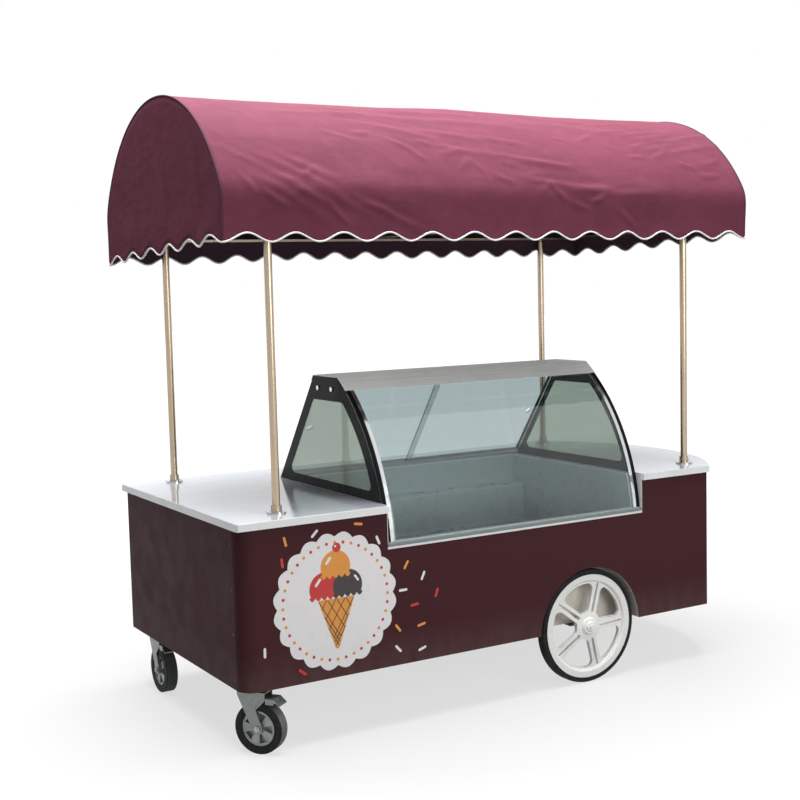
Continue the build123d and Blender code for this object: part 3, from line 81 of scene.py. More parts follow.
class Nodes:
    """The nodes of a material or a world."""

    def __init__(self, tree):
        self.tree = tree

    def node(self, kind, inputs=(), **settings):
        """New node with its settings and its inputs by index or name."""
        made = self.tree.nodes.new(kind)
        for key, value in settings.items():
            setattr(made, key, value)
        for key, value in dict(inputs).items():
            self.feed(made.inputs[key], value)
        return made

    def feed(self, socket, value):
        """Link an output to a socket, or set a plain value on it."""
        if isinstance(value, bpy.types.NodeSocket):
            self.tree.links.new(value, socket)
        else:
            socket.default_value = value

    def math(self, operation, a, b=0.0):
        """Two numbers joined by an operation."""
        return self.node("ShaderNodeMath", {0: a, 1: b}, operation=operation).outputs[0]

    def span(self, value, low, high, out_low=0.0, out_high=1.0):
        """A value carried from one range to another, held at its ends."""
        inputs = {"Value": value, "From Min": low, "From Max": high, "To Min": out_low, "To Max": out_high}
        return self.node("ShaderNodeMapRange", inputs).outputs["Result"]

    def seen(self):
        """1 for a ray from the eye, by gloss or through glass, and 0 for light."""
        path = self.node("ShaderNodeLightPath")
        either = path.outputs[SEEN_RAYS[0]]
        for ray in SEEN_RAYS[1:]:
            either = self.math("MAXIMUM", either, path.outputs[ray])
        return either


class Look(Nodes):
    """A Principled material with patterns that are sized in metres."""

    def __init__(self, name, color, rough, metal=0.0, **sockets):
        self.mat = bpy.data.materials.new(name)
        self.mat.use_nodes = True
        super().__init__(self.mat.node_tree)
        self.shader = self.tree.nodes["Principled BSDF"]
        self.place = self.node("ShaderNodeTexCoord").outputs["Object"]
        self.color = linear(color)
        self.height = None
        self.put("Base Color", self.color)
        self.put("Roughness", rough)
        self.put("Metallic", metal)
        for key, value in sockets.items():
            self.put(key.replace("_", " "), value)

    def put(self, name, value):
        """Feed one of the shader's own sockets."""
        self.feed(self.shader.inputs[name], value)

    def axis(self, name, place=None):
        """One coordinate."""
        source = self.place if place is None else place
        return self.node("ShaderNodeSeparateXYZ", {0: source}).outputs[name]

    def scaled(self, size, place=None):
        """Coordinates divided by a size, one number or one for each axis."""
        sizes = size if hasattr(size, "__len__") else (size, size, size)
        source = self.place if place is None else place
        inputs = {0: source, 1: tuple(1 / s for s in sizes)}
        return self.node("ShaderNodeVectorMath", inputs, operation="MULTIPLY").outputs[0]

    def grain(self, size, detail=2.0):
        """Soft noise with cells of a size."""
        inputs = {"Vector": self.scaled(size), "Scale": 1.0, "Detail": detail}
        return self.node("ShaderNodeTexNoise", inputs).outputs["Fac"]

    def ridges(self, size):
        """Narrow crests where soft noise passes its middle."""
        off = self.math("ABSOLUTE", self.math("SUBTRACT", self.grain(size, 1.0), 0.5))
        return self.math("POWER", self.span(off, 0.0, 0.16, 1.0, 0.0), 1.6)

    def lines(self, size, axis, place):
        """Even waves across one axis of some coordinates, a size apart."""
        inputs = {"Vector": self.scaled(size, place), "Scale": WAVE_SCALE, "Distortion": 0.0}
        return self.node("ShaderNodeTexWave", inputs, bands_direction=axis).outputs["Fac"]

    def tint(self, factor, color):
        """Mix another colour into the base by a factor."""
        current = self.shader.inputs["Base Color"]
        base = current.links[0].from_socket if current.is_linked else self.color
        mixed = self.node("ShaderNodeMix", {0: factor, 6: base, 7: linear(color)}, data_type="RGBA")
        self.put("Base Color", mixed.outputs[2])

    def mottle(self, size, detail, low, high, amount, color):
        """Patches of another colour, from none to an amount as soft noise goes from low to high."""
        self.tint(self.span(self.grain(size, detail), low, high, 0.0, amount), color)

    def gloss(self, value, low, high):
        """Roughness that follows a pattern."""
        self.put("Roughness", self.span(value, NOISE_LOW, NOISE_HIGH, low, high))

    def raise_by(self, value, depth):
        """Add a pattern to the surface's relief, which is kept in millimetres."""
        part = self.math("MULTIPLY", value, depth * MILLIMETRES)
        self.height = part if self.height is None else self.math("ADD", self.height, part)

    def done(self):
        """Close the relief and return the material."""
        if self.height is not None:
            inputs = {"Height": self.height, "Distance": 1 / MILLIMETRES, "Strength": 1.0}
            self.put("Normal", self.node("ShaderNodeBump", inputs).outputs["Normal"])
        return self.mat


def laminate(name):
    """Satin laminated sheet with a faint peel, and dust at its foot; open to further tints."""
    look = Look(name, (75, 44, 48), rough=0.46, Specular_IOR_Level=0.02)
    look.mottle(size=0.34, detail=3.0, low=0.35, high=0.7, amount=0.25, color=(68, 41, 46))
    foot = look.span(look.axis("Z"), BODY_FOOT, DUST_TOP, 0.34, 0.0)
    look.tint(look.math("MULTIPLY", foot, look.grain((0.05, 0.05, 0.12), 4.0)), (128, 112, 106))
    look.gloss(look.grain(0.08, 3.0), low=0.36, high=0.5)
    look.raise_by(look.grain(0.0028), depth=0.00003)
    return look


def hinged_door():
    """Laminated door with bare steel on its hinge leaves, which stand proud of its face."""
    look = laminate("hinged_door")
    leaf = look.span(look.axis("Y"), REAR_FACE + 0.0002, REAR_FACE + 0.0005)
    look.tint(leaf, (172, 173, 172))
    look.put("Metallic", leaf)
    return look.done()


def liner():
    """Pale painted steel of the wheel wells, with dusty patches."""
    look = Look("liner", (224, 219, 208), rough=0.5)
    look.mottle(size=0.06, detail=4.0, low=0.45, high=0.75, amount=0.5, color=(190, 182, 170))
    look.raise_by(look.grain(0.004), depth=0.00005)
    return look.done()


def board():
    """Plywood with long grain."""
    look = Look("board", (168, 132, 92), rough=0.6)
    look.mottle(size=(0.5, 0.012, 0.012), detail=5.0, low=0.35, high=0.65, amount=1.0, color=(134, 98, 62))
    look.raise_by(look.grain((0.2, 0.003, 0.003)), depth=0.00006)
    return look.done()


def counter():
    """White stone, polished, with a fine speckle and a faint cloud; the top is painted bluish grey as shade
    and reflection, so the edges stay paler.
    """
    look = Look("counter", (234, 236, 235), rough=0.12, Coat_Weight=0.3, Coat_Roughness=0.05)
    # Painted shade and reflection: the top face is tinted bluish grey as the canopy's shade and its
    # reflection in the stone.
    look.tint(look.span(look.axis("Z"), COUNTER_TOP - 0.002, COUNTER_TOP - 0.0005), (207, 214, 224))
    look.mottle(size=0.16, detail=5.0, low=0.45, high=0.75, amount=0.4, color=(204, 209, 216))
    look.mottle(size=0.0022, detail=1.0, low=0.66, high=0.74, amount=0.5, color=(186, 190, 196))
    look.gloss(look.grain(0.1, 3.0), low=0.08, high=0.18)
    return look.done()


def chassis_steel():
    """Black painted steel tube."""
    look = Look("chassis_steel", (42, 42, 44), rough=0.48)
    look.mottle(size=0.05, detail=4.0, low=0.55, high=0.75, amount=1.0, color=(72, 68, 64))
    look.raise_by(look.grain(0.003), depth=0.00004)
    return look.done()


def tub_white():
    """Moulded tub lining, a little wet and clouded, with painted shade: grey down in the pit, paler towards
    its ledge, and a white rim.
    """
    # Painted shade: the lining's grey base is the shade low in the pit.
    look = Look("tub_white", (156, 167, 165), rough=0.3)
    look.mottle(size=0.12, detail=4.0, low=0.4, high=0.7, amount=0.6, color=(134, 146, 145))
    # Painted shade: paler going up to the ledge, as the light falls off down in the pit.
    look.tint(look.span(look.axis("Z"), PIT_FLOOR + 0.02, LEDGE_TOP), (208, 216, 215))
    look.tint(look.span(look.axis("Z"), RIM_FOOT, RIM_FOOT + 0.001), (238, 240, 240))
    look.gloss(look.grain(0.04, 3.0), low=0.22, high=0.42)
    look.raise_by(look.grain(0.0016), depth=0.00003)
    return look.done()


def trim_white():
    """White coated trim."""
    look = Look("trim_white", (234, 236, 236), rough=0.3)
    look.mottle(size=0.05, detail=4.0, low=0.5, high=0.75, amount=0.5, color=(214, 217, 217))
    look.raise_by(look.grain(0.002), depth=0.00002)
    return look.done()


def glass(name, color):
    """Float glass whose colour is partly its own slight tint and partly painted shade and reflection, with a
    breath of smudges.
    """
    look = Look(name, color, rough=0.015, Transmission_Weight=1.0, IOR=1.45)
    look.gloss(look.grain((0.09, 0.09, 0.05), 4.0), low=0.0, high=0.05)
    return look.done()


def black_border():
    """Blue-black enamel fired on glass."""
    look = Look("black_border", (22, 23, 27), rough=0.14, Specular_IOR_Level=0.06)
    look.mottle(size=0.03, detail=3.0, low=0.5, high=0.75, amount=0.5, color=(33, 35, 40))
    look.gloss(look.grain(0.05, 3.0), low=0.08, high=0.2)
    return look.done()


def scratched(name, color, run, low, high, metal):
    """Metal with scratches, given as the sizes of their grain; open to further tints."""
    look = Look(name, color, (low + high) / 2, metal)
    scratch = look.grain(run, 3.0)
    darker = tuple(int(c * 0.82) for c in color)
    look.tint(look.span(scratch, 0.35, 0.65, 0.0, 0.6), darker)
    look.mottle(size=0.07, detail=4.0, low=0.5, high=0.8, amount=0.35, color=darker)
    look.gloss(scratch, low=low, high=high)
    look.raise_by(scratch, depth=0.00002)
    return look


def brushed(name, color, run, low, high, metal=1.0):
    """Brushed metal whose scratches run along one axis."""
    return scratched(name, color, run, low, high, metal).done()


def stainless_sheet():
    """Bright brushed sheet whose scratches along X fan its gleam out up and down."""
    look = scratched("stainless", (238, 239, 237), run=(0.5, 0.0018, 0.0018), low=0.42, high=0.56, metal=0.6)
    look.put("Anisotropic", 0.85)
    look.put("Tangent", look.node("ShaderNodeCombineXYZ", {"Y": 0.7, "Z": 0.7}).outputs[0])
    return look.done()


def post_steel():
    """Stainless tube tinted champagne as a painted warm reflection, on a bright flange."""
    # Painted reflection: the champagne colour of the tube stands in for warm surroundings reflected in the
    # steel.
    look = scratched("post_steel", (182, 164, 142), run=(0.0012, 0.0012, 0.3), low=0.16, high=0.3, metal=1.0)
    flange = look.span(look.axis("Z"), FLANGE_TOP + 0.0002, FLANGE_TOP + 0.0006, 1.0, 0.0)
    look.tint(flange, (178, 180, 180))
    return look.done()


def polished():
    """Bright trim with faint handling marks."""
    look = Look("polished", (216, 218, 218), rough=0.12, metal=1.0)
    look.mottle(size=0.03, detail=4.0, low=0.45, high=0.75, amount=0.5, color=(190, 192, 192))
    look.gloss(look.grain(0.012, 3.0), low=0.07, high=0.2)
    return look.done()


def wheel_white():
    """White coated casting with a little dust."""
    look = Look("wheel_white", (247, 247, 244), rough=0.3, Coat_Weight=0.2, Coat_Roughness=0.12)
    look.mottle(size=0.045, detail=5.0, low=0.55, high=0.85, amount=0.2, color=(222, 220, 213))
    look.gloss(look.grain(0.03, 3.0), low=0.22, high=0.4)
    look.raise_by(look.grain(0.0025), depth=0.00004)
    return look.done()


def rubber(name, color, dust):
    """Moulded rubber with a dusty bloom."""
    look = Look(name, color, rough=0.7, Specular_IOR_Level=0.25)
    look.mottle(size=0.03, detail=5.0, low=0.42, high=0.74, amount=0.4, color=dust)
    look.gloss(look.grain(0.012, 3.0), low=0.58, high=0.85)
    look.raise_by(look.grain(0.0012), depth=0.00008)
    return look.done()


def zinc():
    """Zinc-plated pressed steel with crystal flakes and dull patches."""
    look = Look("zinc", (126, 132, 129), rough=0.38, metal=0.85)
    cells = look.node("ShaderNodeTexVoronoi", {"Vector": look.scaled(0.011), "Scale": 1.0}).outputs["Color"]
    look.tint(look.span(look.axis("X", cells), 0.1, 0.9, 0.0, 0.25), (102, 107, 105))
    look.mottle(size=0.02, detail=4.0, low=0.55, high=0.75, amount=0.4, color=(90, 92, 90))
    look.gloss(look.grain(0.008, 3.0), low=0.26, high=0.5)
    look.raise_by(look.grain(0.002), depth=0.00003)
    return look.done()


def cast_aluminium():
    """Sand-textured casting."""
    look = Look("hub_aluminium", (152, 154, 155), rough=0.45, metal=0.6)
    look.mottle(size=0.02, detail=4.0, low=0.45, high=0.75, amount=0.7, color=(118, 120, 122))
    look.raise_by(look.grain(0.0011), depth=0.00007)
    return look.done()


def fabric(name, color, deep, pale):
    """Coated canvas: a plain weave on the cloth's own metres, soft mottling and a sheen."""
    look = Look(name, color, rough=0.8, Specular_IOR_Level=0.08, Sheen_Weight=0.05, Sheen_Roughness=0.4)
    look.put("Sheen Tint", linear((224, 170, 186)))
    flat = look.node("ShaderNodeUVMap", uv_map="weave").outputs["UV"]
    warp = look.lines(0.0014, "X", flat)
    weft = look.lines(0.0014, "Y", flat)
    weave = look.math("MULTIPLY", warp, weft)
    look.tint(look.span(weave, 0.0, 1.0, 0.3, 0.0), deep)
    look.mottle(size=0.22, detail=4.0, low=0.35, high=0.7, amount=0.3, color=deep)
    look.mottle(size=0.05, detail=5.0, low=0.5, high=0.8, amount=0.22, color=pale)
    look.raise_by(weave, depth=0.00012)
    look.raise_by(look.grain((0.10, 0.10, 0.05), 3.0), depth=0.0022)
    look.raise_by(look.ridges((0.16, 0.16, 0.10)), depth=0.0005)
    return look.done()


def satin(name, color, patch):
    """Satin film, paint or plastic with faint patches."""
    look = Look(name, color, rough=0.34)
    look.mottle(size=0.06, detail=4.0, low=0.5, high=0.8, amount=0.4, color=patch)
    look.gloss(look.grain(0.05, 3.0), low=0.26, high=0.42)
    look.raise_by(look.grain(0.0028), depth=0.00002)
    return look.done()


tyre_rubber = rubber("wheel_tyre", (22, 22, 24), (56, 53, 50))
caster_rubber = rubber("caster_tyre", (21, 22, 24), (50, 49, 48))
# Painted light: the caster tread is a lighter grey than the tyre's sides, as the light falling on the tread.
painted_light_tread = rubber("caster_tread", (98, 101, 102), (122, 123, 122))
bright = polished()
zinc_plate = zinc()
slot_looks = {
    "maroon_panel": laminate("maroon_panel").done(),
    "liner": liner(),
    "board": board(),
    "counter": counter(),
    "chassis_steel": chassis_steel(),
    "tub_white": tub_white(),
    "trim_white": trim_white(),
    # Painted reflection: the clear glass is tinted grey beyond its own slight green, as the veil of
    # reflection over it.
    "clear_glass": glass("clear_glass", (207, 216, 217)),
    "black_border": black_border(),
    "stainless": stainless_sheet(),
    "polished": bright,
    "track_aluminium": brushed("track_aluminium", (218, 221, 222), (0.4, 0.002, 0.002), 0.28, 0.45, 0.3),
    "post_steel": post_steel(),
    "canopy_tube": brushed("canopy_tube", (196, 182, 160), (0.25, 0.002, 0.002), 0.2, 0.34),
    "canopy_fabric": fabric("canopy_fabric", (114, 58, 75), (91, 45, 59), (134, 72, 90)),
    "wheel_white": wheel_white(),
    "wheel_tyre": tyre_rubber,
    "axle_steel": brushed("axle_steel", (150, 151, 152), (0.002, 0.2, 0.002), 0.3, 0.5),
    "zinc": zinc_plate,
    "hub_aluminium": cast_aluminium(),
    "caster_tyre": caster_rubber,
    "hinge_steel": brushed("hinge_steel", (172, 173, 172), (0.002, 0.002, 0.1), 0.25, 0.42),
}
# Painted shade and reflection: the side panes are a darker copy of the clear glass, as the dark interior and
# dark reflections seen in them.
painted_shade_side_pane = glass("painted_shade_side_pane", (158, 169, 156))
node_looks = {"side_glass_left": painted_shade_side_pane, "side_glass_right": painted_shade_side_pane, "storage_door": hinged_door()}
for subpart in frame["record"]["subparts"]:
    node = subpart["node"]
    for place in frame["nodes"][node].material_slots:
        place.material = node_looks.get(node, slot_looks[subpart["material_slot"]])


def middle(node):
    """Middle of a node's box along X and Y."""
    low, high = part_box(node)
    return (low[0] + high[0]) / 2, (low[1] + high[1]) / 2


def mesh_of(name, verts, faces):
    """Mesh from places and faces."""
    mesh = bpy.data.meshes.new(name)
    mesh.from_pydata(verts, [], faces)
    mesh.update()
    return mesh


def link(name, data, body):
    """Object in the scene that rides on a body."""
    obj = bpy.data.objects.new(name, data)
    bpy.context.scene.collection.objects.link(obj)
    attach(obj, body)
    return obj


def piece(name, mesh, body, looks, sharp=None):
    """Piece from a mesh, shaded smooth apart from edges over an angle in degrees."""
    for look in looks:
        mesh.materials.append(look)
    mesh.shade_smooth()
    if sharp is not None:
        mesh.set_sharp_from_angle(angle=radians(sharp))
    return link(name, mesh, body)


def tube(name, points, radius, body, look, closed=False):
    """Round edging through a row of points."""
    data = bpy.data.curves.new(name, "CURVE")
    data.dimensions = "3D"
    data.bevel_depth = radius
    data.bevel_resolution = 2
    data.use_fill_caps = True
    line = data.splines.new("POLY")
    line.points.add(len(points) - 1)
    for spot, point in zip(line.points, points):
        spot.co = (*point, 1.0)
    line.use_cyclic_u = closed
    line.use_smooth = True
    data.materials.append(look)
    return link(name, data, body)


# Canopy cloth over its three hoops: a vault with a skirt along each side and a panel at each end
HOOPS = ["canopy_hoop_left", "canopy_hoop_middle", "canopy_hoop_right"]
HEM_REAR_DROP = 0.038
(cover_left, cover_front, rear_hem), (cover_right, cover_rear, crown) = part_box("canopy_cover")
front_hem = rear_hem + HEM_REAR_DROP
hoop_places = [middle(hoop)[0] for hoop in HOOPS]

# The vault's arc, and the rolls of cloth along its springs
CROWN_Y = -0.043
SPRING_FRONT = 1.920
SPRING_REAR = 1.885
ROLL_HEIGHT = 0.06

# The hem's waves, and the sag of the rear hem, which ends between two shares of the length
HEM_WAVE = 0.030
FRONT_WAVES = 13
REAR_WAVES = 15
END_WAVES = 6
REAR_SAG = 0.012
SAG_FULL = 0.15
SAG_END = 0.35

# The cloth, how its rim and the hoop's tie hold an end panel, and how far up its hem flutters
CLOTH_THICK = 0.0016
CLOTH_PROUD = 0.001
VAULT_SAG = 0.007
END_SAG = 0.004
RIM_HOLD = 0.16
TIE_TOP = 1.800
TIE_FADE = 0.08
FLUTTER_REACH = 0.2
PIPING_RADIUS = 0.0034
SEAM_RADIUS = 0.0026

# Columns and rows of the mesh, and how many rows are rounded off beside each spring
COLUMNS = 240
ARCH_ROWS = 120
SKIRT_ROWS = 20
ROWS = 2 * SKIRT_ROWS + ARCH_ROWS + 1
EASED_ROWS = 6
EASING_ROUNDS = 10

# Straight folds: how many of each kind, and a step for each row of irregular values.
# A fold reaches some widths to each side, and its dip is a share of its crest.
SHEET_RUN = 1.77
SLANT_FOLDS = 34
LEVEL_FOLDS = 9
KINKS = 32
SPREAD_STEPS = (0.618034, 0.569840, 0.754878, 0.445042, 0.324718)
FOLD_REACH = 4
DIP_DEPTH = 0.45
DIP_PLACE = 1.7


def scallop_lift(share, waves):
    """Height of the hem above its lowest place."""
    return HEM_WAVE * (1 - cos(2 * pi * waves * share)) / 2


def rear_sag(share):
    """Sag of the rear hem, full at the left end and none from a third of the length on."""
    way = min(max((share - SAG_FULL) / (SAG_END - SAG_FULL), 0.0), 1.0)
    return REAR_SAG * (1 - way * way * (3 - 2 * way))


def slack(x):
    """How free the cloth is at a place along the cart: 0 on a hoop, 1 midway."""
    nearest = min(abs(x - hoop) for hoop in hoop_places)
    reach = (hoop_places[1] - hoop_places[0]) / 2
    return sin(min(nearest / reach, 1.0) * pi / 2) ** 0.8


def ripple(u, v, seed):
    """Soft noise from about -1 to 1."""
    return noise.noise(Vector((u, v, seed)))


def crease(u, v, seed):
    """Narrow crests with soft flanks, from 0 to 1."""
    return max(0.0, 1 - 2.8 * abs(ripple(u, v, seed))) ** 1.6


def spread(k, row, low, high):
    """Even but irregular values between two ends, for a counter and a row of values."""
    return low + (high - low) * ((0.5 + SPREAD_STEPS[row] * k) % 1)


def on_flank(front, share, up, run, rise, width, crest):
    """A fold on the front flank, or its mirror image on the rear one."""
    if front:
        return share, up, run, rise, width, crest
    return share, SHEET_RUN - up, run, -rise, width, crest


def straight_folds():
    """Start along the cart and up from the front hem, run, rise, width and height of each straight fold.

    Slanting folds fall from both ends towards the middle of each flank, long ones lie nearly level high
    up in front, and short kinks break both flanks low down.
    """
    folds = []
    for k in range(2 * SLANT_FOLDS):
        share = spread(k, 0, 0.0, 0.90)
        run = spread(k, 1, 0.18, 0.42)
        up = spread(k, 2, 0.16, 0.74)
        width = spread(k, 3, 0.010, 0.017)
        crest = spread(k, 4, 0.0025, 0.0055)
        folds.append(on_flank(k < SLANT_FOLDS, share, up, run, run * (share - 0.62), width, crest))
    for k in range(LEVEL_FOLDS):
        share = spread(k, 0, 0.02, 0.70)
        up = spread(k, 1, 0.55, 1.05)
        run = spread(k, 2, 0.50, 0.80)
        rise = run * spread(k, 4, -0.10, 0.04)
        folds.append((share, up, run, rise, 0.026, 0.0055))
    for k in range(2 * KINKS):
        share = spread(k, 0, 0.02, 0.95)
        run = spread(k, 1, 0.06, 0.15)
        up = spread(k, 2, 0.12, 0.50)
        crest = spread(k, 3, 0.003, 0.0055)
        rise = spread(k, 4, -0.11, 0.07)
        folds.append(on_flank(k < KINKS, share, up, run, rise, 0.011, crest))
    return folds


FOLDS = straight_folds()


def fold_height(x, s):
    """Height of the straight folds at a place: a crest with a shallow dip above it."""
    height = 0.0
    for share, up, run, rise, width, crest in FOLDS:
        dx = x - cover_left - share * (cover_right - cover_left)
        ds = s - up
        length = hypot(run, rise)
        along = (dx * run + ds * rise) / length ** 2
        off = (ds * run - dx * rise) / length / width
        if 0 < along < 1 and abs(off) < FOLD_REACH:
            dip = DIP_DEPTH * exp(-((off - DIP_PLACE) ** 2))
            height += crest * sin(pi * along) * (exp(-off * off) - dip)
    return height


def spring_roll(x, s, z):
    """Soft roll of the cloth along both springs."""
    near = max(exp(-(((z - spring) / ROLL_HEIGHT) ** 2)) for spring in (SPRING_FRONT, SPRING_REAR))
    return near * (0.003 + 0.012 * slack(x) * ripple(x * 4.6, s * 2.4, 5.2))


def vault_fold(x, s, low):
    """Step of the cloth off its smooth vault.

    s runs up from the front hem, and low is 0 on the vault and up to 1 at a hem.
    """
    broad = 0.006 * ripple(x * 1.7, s * 1.9, 2.3)
    fine = 0.0014 * ripple(x * 11.0, s * 13.0, 8.7)
    level = 0.003 * crease(x * 1.1 + s * 0.6, s * 5.6, 7.7)
    flutter = 0.010 * ripple(x * 3.4, 0.3, 4.0) + 0.005 * ripple(x * 8.1, 1.3, 9.0)
    folds = fold_height(x, s)
    step = broad + fine + level + min(folds, 0.0) - VAULT_SAG
    return slack(x) * step + max(folds, 0.0) + flutter * low * low


def end_fold(y, z, inside, low):
    """Step of an end panel at a distance inside its rim; beside the hoop's tie it only stands outwards."""
    broad = 0.007 * ripple(y * 2.1, z * 2.1, 6.4)
    slant = 0.003 * crease((y + z) * 1.4, (y - z) * 3.6, 1.9)
    flutter = 0.012 * ripple(y * 4.2, 2.2, 0.5)
    free = min(inside / RIM_HOLD, 1.0) ** 1.5
    step = free * (broad + slant - END_SAG + flutter * low * low)
    above = min(max((z - TIE_TOP) / TIE_FADE, 0.0), 1.0)
    return step * above + abs(step) * (1 - above)


def circle_through(a, b, c):
    """Centre and radius of the circle through three places."""
    d = 2 * (a[0] * (b[1] - c[1]) + b[0] * (c[1] - a[1]) + c[0] * (a[1] - b[1]))
    squares = [p[0] ** 2 + p[1] ** 2 for p in (a, b, c)]
    u = (squares[0] * (b[1] - c[1]) + squares[1] * (c[1] - a[1]) + squares[2] * (a[1] - b[1])) / d
    v = (squares[0] * (c[0] - b[0]) + squares[1] * (a[0] - c[0]) + squares[2] * (b[0] - a[0])) / d
    return u, v, hypot(a[0] - u, a[1] - v)


front_spring = (cover_front, SPRING_FRONT)
rear_spring = (cover_rear, SPRING_REAR)
arc_y, arc_z, arc_radius = circle_through(front_spring, (CROWN_Y, crown), rear_spring)
arc_start = atan2(SPRING_FRONT - arc_z, cover_front - arc_y)
arc_turn = atan2(SPRING_REAR - arc_z, cover_rear - arc_y) - arc_start
arch_angles = [arc_start + arc_turn * k / ARCH_ROWS for k in range(ARCH_ROWS + 1)]


def skirt(y, edge, spring, outward):
    """Rows of a skirt from its edge up to the spring: y, z, normal's y and z, and 1 to 0 going up."""
    rows = []
    for k in range(SKIRT_ROWS):
        share = k / SKIRT_ROWS
        rows.append((y, edge + (spring - edge) * share, outward, 0.0, 1 - share))
    return rows


def ease(rows, corner):
    """Round the corner between a skirt and the vault by drawing each row towards its neighbours."""
    eased = {}
    for r in range(corner - EASED_ROWS, corner + EASED_ROWS + 1):
        before, here, after = rows[r - 1], rows[r], rows[r + 1]
        y = (before[0] + 2 * here[0] + after[0]) / 4
        z = (before[1] + 2 * here[1] + after[1]) / 4
        eased[r] = (y, z, *here[2:])
    for r, row in eased.items():
        rows[r] = row


def section(share):
    """Rows of the smooth cloth from the front hem over the vault to the rear hem, as in skirt()."""
    front_edge = front_hem + scallop_lift(share, FRONT_WAVES)
    rear_edge = rear_hem + scallop_lift(share, REAR_WAVES) - rear_sag(share)
    rows = skirt(cover_front, front_edge, SPRING_FRONT, -1.0)
    for angle in arch_angles:
        ny, nz = cos(angle), sin(angle)
        rows.append((arc_y + arc_radius * ny, arc_z + arc_radius * nz, ny, nz, 0.0))
    rows += reversed(skirt(cover_rear, rear_edge, SPRING_REAR, 1.0))
    for _ in range(EASING_ROUNDS):
        ease(rows, SKIRT_ROWS)
        ease(rows, SKIRT_ROWS + ARCH_ROWS)
    return rows


def vault():
    """Places of the cloth from hem to hem, column by column, and their places on the flat cloth."""
    verts = []
    flat = []
    for i in range(COLUMNS + 1):
        share = i / COLUMNS
        x = cover_left + (cover_right - cover_left) * share
        rows = section(share)
        before = (cover_front, front_hem)
        s = 0.0
        for y, z, ny, nz, low in rows:
            s += hypot(y - before[0], z - before[1])
            before = (y, z)
            step = CLOTH_PROUD + spring_roll(x, s, z) + vault_fold(x, s, low)
            verts.append((x, y + step * ny, z + step * nz))
            flat.append((x, s))
    return verts, flat


def vault_at(column, row):
    """Index of a place on the vault or its skirts."""
    return column * ROWS + row


def end_panel(verts, column, outward):
    """Panel that closes one end of the vault: adds its places, and returns its faces and its hem."""
    index = {}
    for j, angle in enumerate(arch_angles):
        rim = vault_at(column, SKIRT_ROWS + j)
        x, y, top = verts[rim]
        share = (arc_y + arc_radius * cos(angle) - cover_front) / (cover_rear - cover_front)
        edge = front_hem - HEM_REAR_DROP * share + scallop_lift(share, END_WAVES)
        if outward < 0:
            edge -= REAR_SAG * share
        index[j, SKIRT_ROWS] = rim
        for k in range(SKIRT_ROWS):
            if j == 0:
                index[j, k] = vault_at(column, k)
            elif j == ARCH_ROWS:
                index[j, k] = vault_at(column, ROWS - 1 - k)
            else:
                z = edge + (top - edge) * k / SKIRT_ROWS
                inside = max(min(top - z, y - cover_front, cover_rear - y), 0.0)
                low = max(0.0, 1 - (z - edge) / FLUTTER_REACH)
                step = CLOTH_PROUD + end_fold(y, z, inside, low)
                index[j, k] = len(verts)
                verts.append((x + outward * step, y, z))
    faces = []
    for j in range(ARCH_ROWS):
        for k in range(SKIRT_ROWS):
            face = (index[j, k], index[j, k + 1], index[j + 1, k + 1], index[j + 1, k])
            faces.append(face if outward < 0 else face[::-1])
    hem = [verts[index[j, 0]] for j in range(1, ARCH_ROWS)]
    return faces, hem


def weave_map(mesh, verts, flat, vault_faces):
    """Lay the weave by the flat cloth's metres on the vault, and by Y and Z on the ends."""
    weave = mesh.uv_layers.new(name="weave")
    for face in mesh.polygons:
        for loop in face.loop_indices:
            vertex = mesh.loops[loop].vertex_index
            weave.data[loop].uv = flat[vertex] if face.index < vault_faces else verts[vertex][1:]


def edgings(verts, left_hem, right_hem, seam_look):
    """White piping all along the hem, and a seam over the vault at each end."""
    front = [verts[vault_at(i, 0)] for i in range(COLUMNS + 1)]
    rear = [verts[vault_at(i, ROWS - 1)] for i in range(COLUMNS + 1)]
    hem = front + right_hem + rear[::-1] + left_hem[::-1]
    white = satin("piping_white", (248, 247, 245), (236, 233, 230))
    made = [tube("canopy_piping", hem, PIPING_RADIUS, "cart", white, closed=True)]
    for name, column in (("canopy_seam_left", 0), ("canopy_seam_right", COLUMNS)):
        path = [verts[vault_at(column, r)] for r in range(1, ROWS - 1)]
        made.append(tube(name, path, SEAM_RADIUS, "cart", seam_look))
    return made


def canopy():
    """One sheet: front skirt, vault, rear skirt and both ends, sewn at the rims."""
    verts, flat = vault()
    faces = []
    for i in range(COLUMNS):
        for r in range(ROWS - 1):
            faces.append((vault_at(i, r), vault_at(i + 1, r), vault_at(i + 1, r + 1), vault_at(i, r + 1)))
    vault_faces = len(faces)
    left_faces, left_hem = end_panel(verts, 0, -1)
    right_faces, right_hem = end_panel(verts, COLUMNS, 1)
    mesh = mesh_of("canopy_cloth", verts, faces + left_faces + right_faces)
    weave_map(mesh, verts, flat, vault_faces)
    outside = slot_looks["canopy_fabric"]
    # Painted shade: the cloth's inside, and the seams, take a darker copy of the fabric, its coated backing
    # darkened further as the shade under the canopy.
    inside = fabric("canopy_inside", (82, 60, 74), (62, 46, 57), (98, 72, 86))
    cloth = piece("canopy_cloth", mesh, "cart", [outside, inside])
    shell = cloth.modifiers.new("thickness", "SOLIDIFY")
    shell.thickness = CLOTH_THICK
    shell.offset = -1.0
    shell.material_offset = 1
    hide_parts("canopy_cover")
    edgings(verts, left_hem, right_hem, inside)


canopy()

# Tyres turned with round shoulders and moulded grooves
GROOVE_DEPTH = 0.0015
GROOVE_HALF = 0.0012
SHOULDER_STEPS = 6
WHEEL_STEPS = 128
CASTER_STEPS = 72
joints = {joint["name"]: joint for joint in frame["record"]["behaviour"]["joints"]}


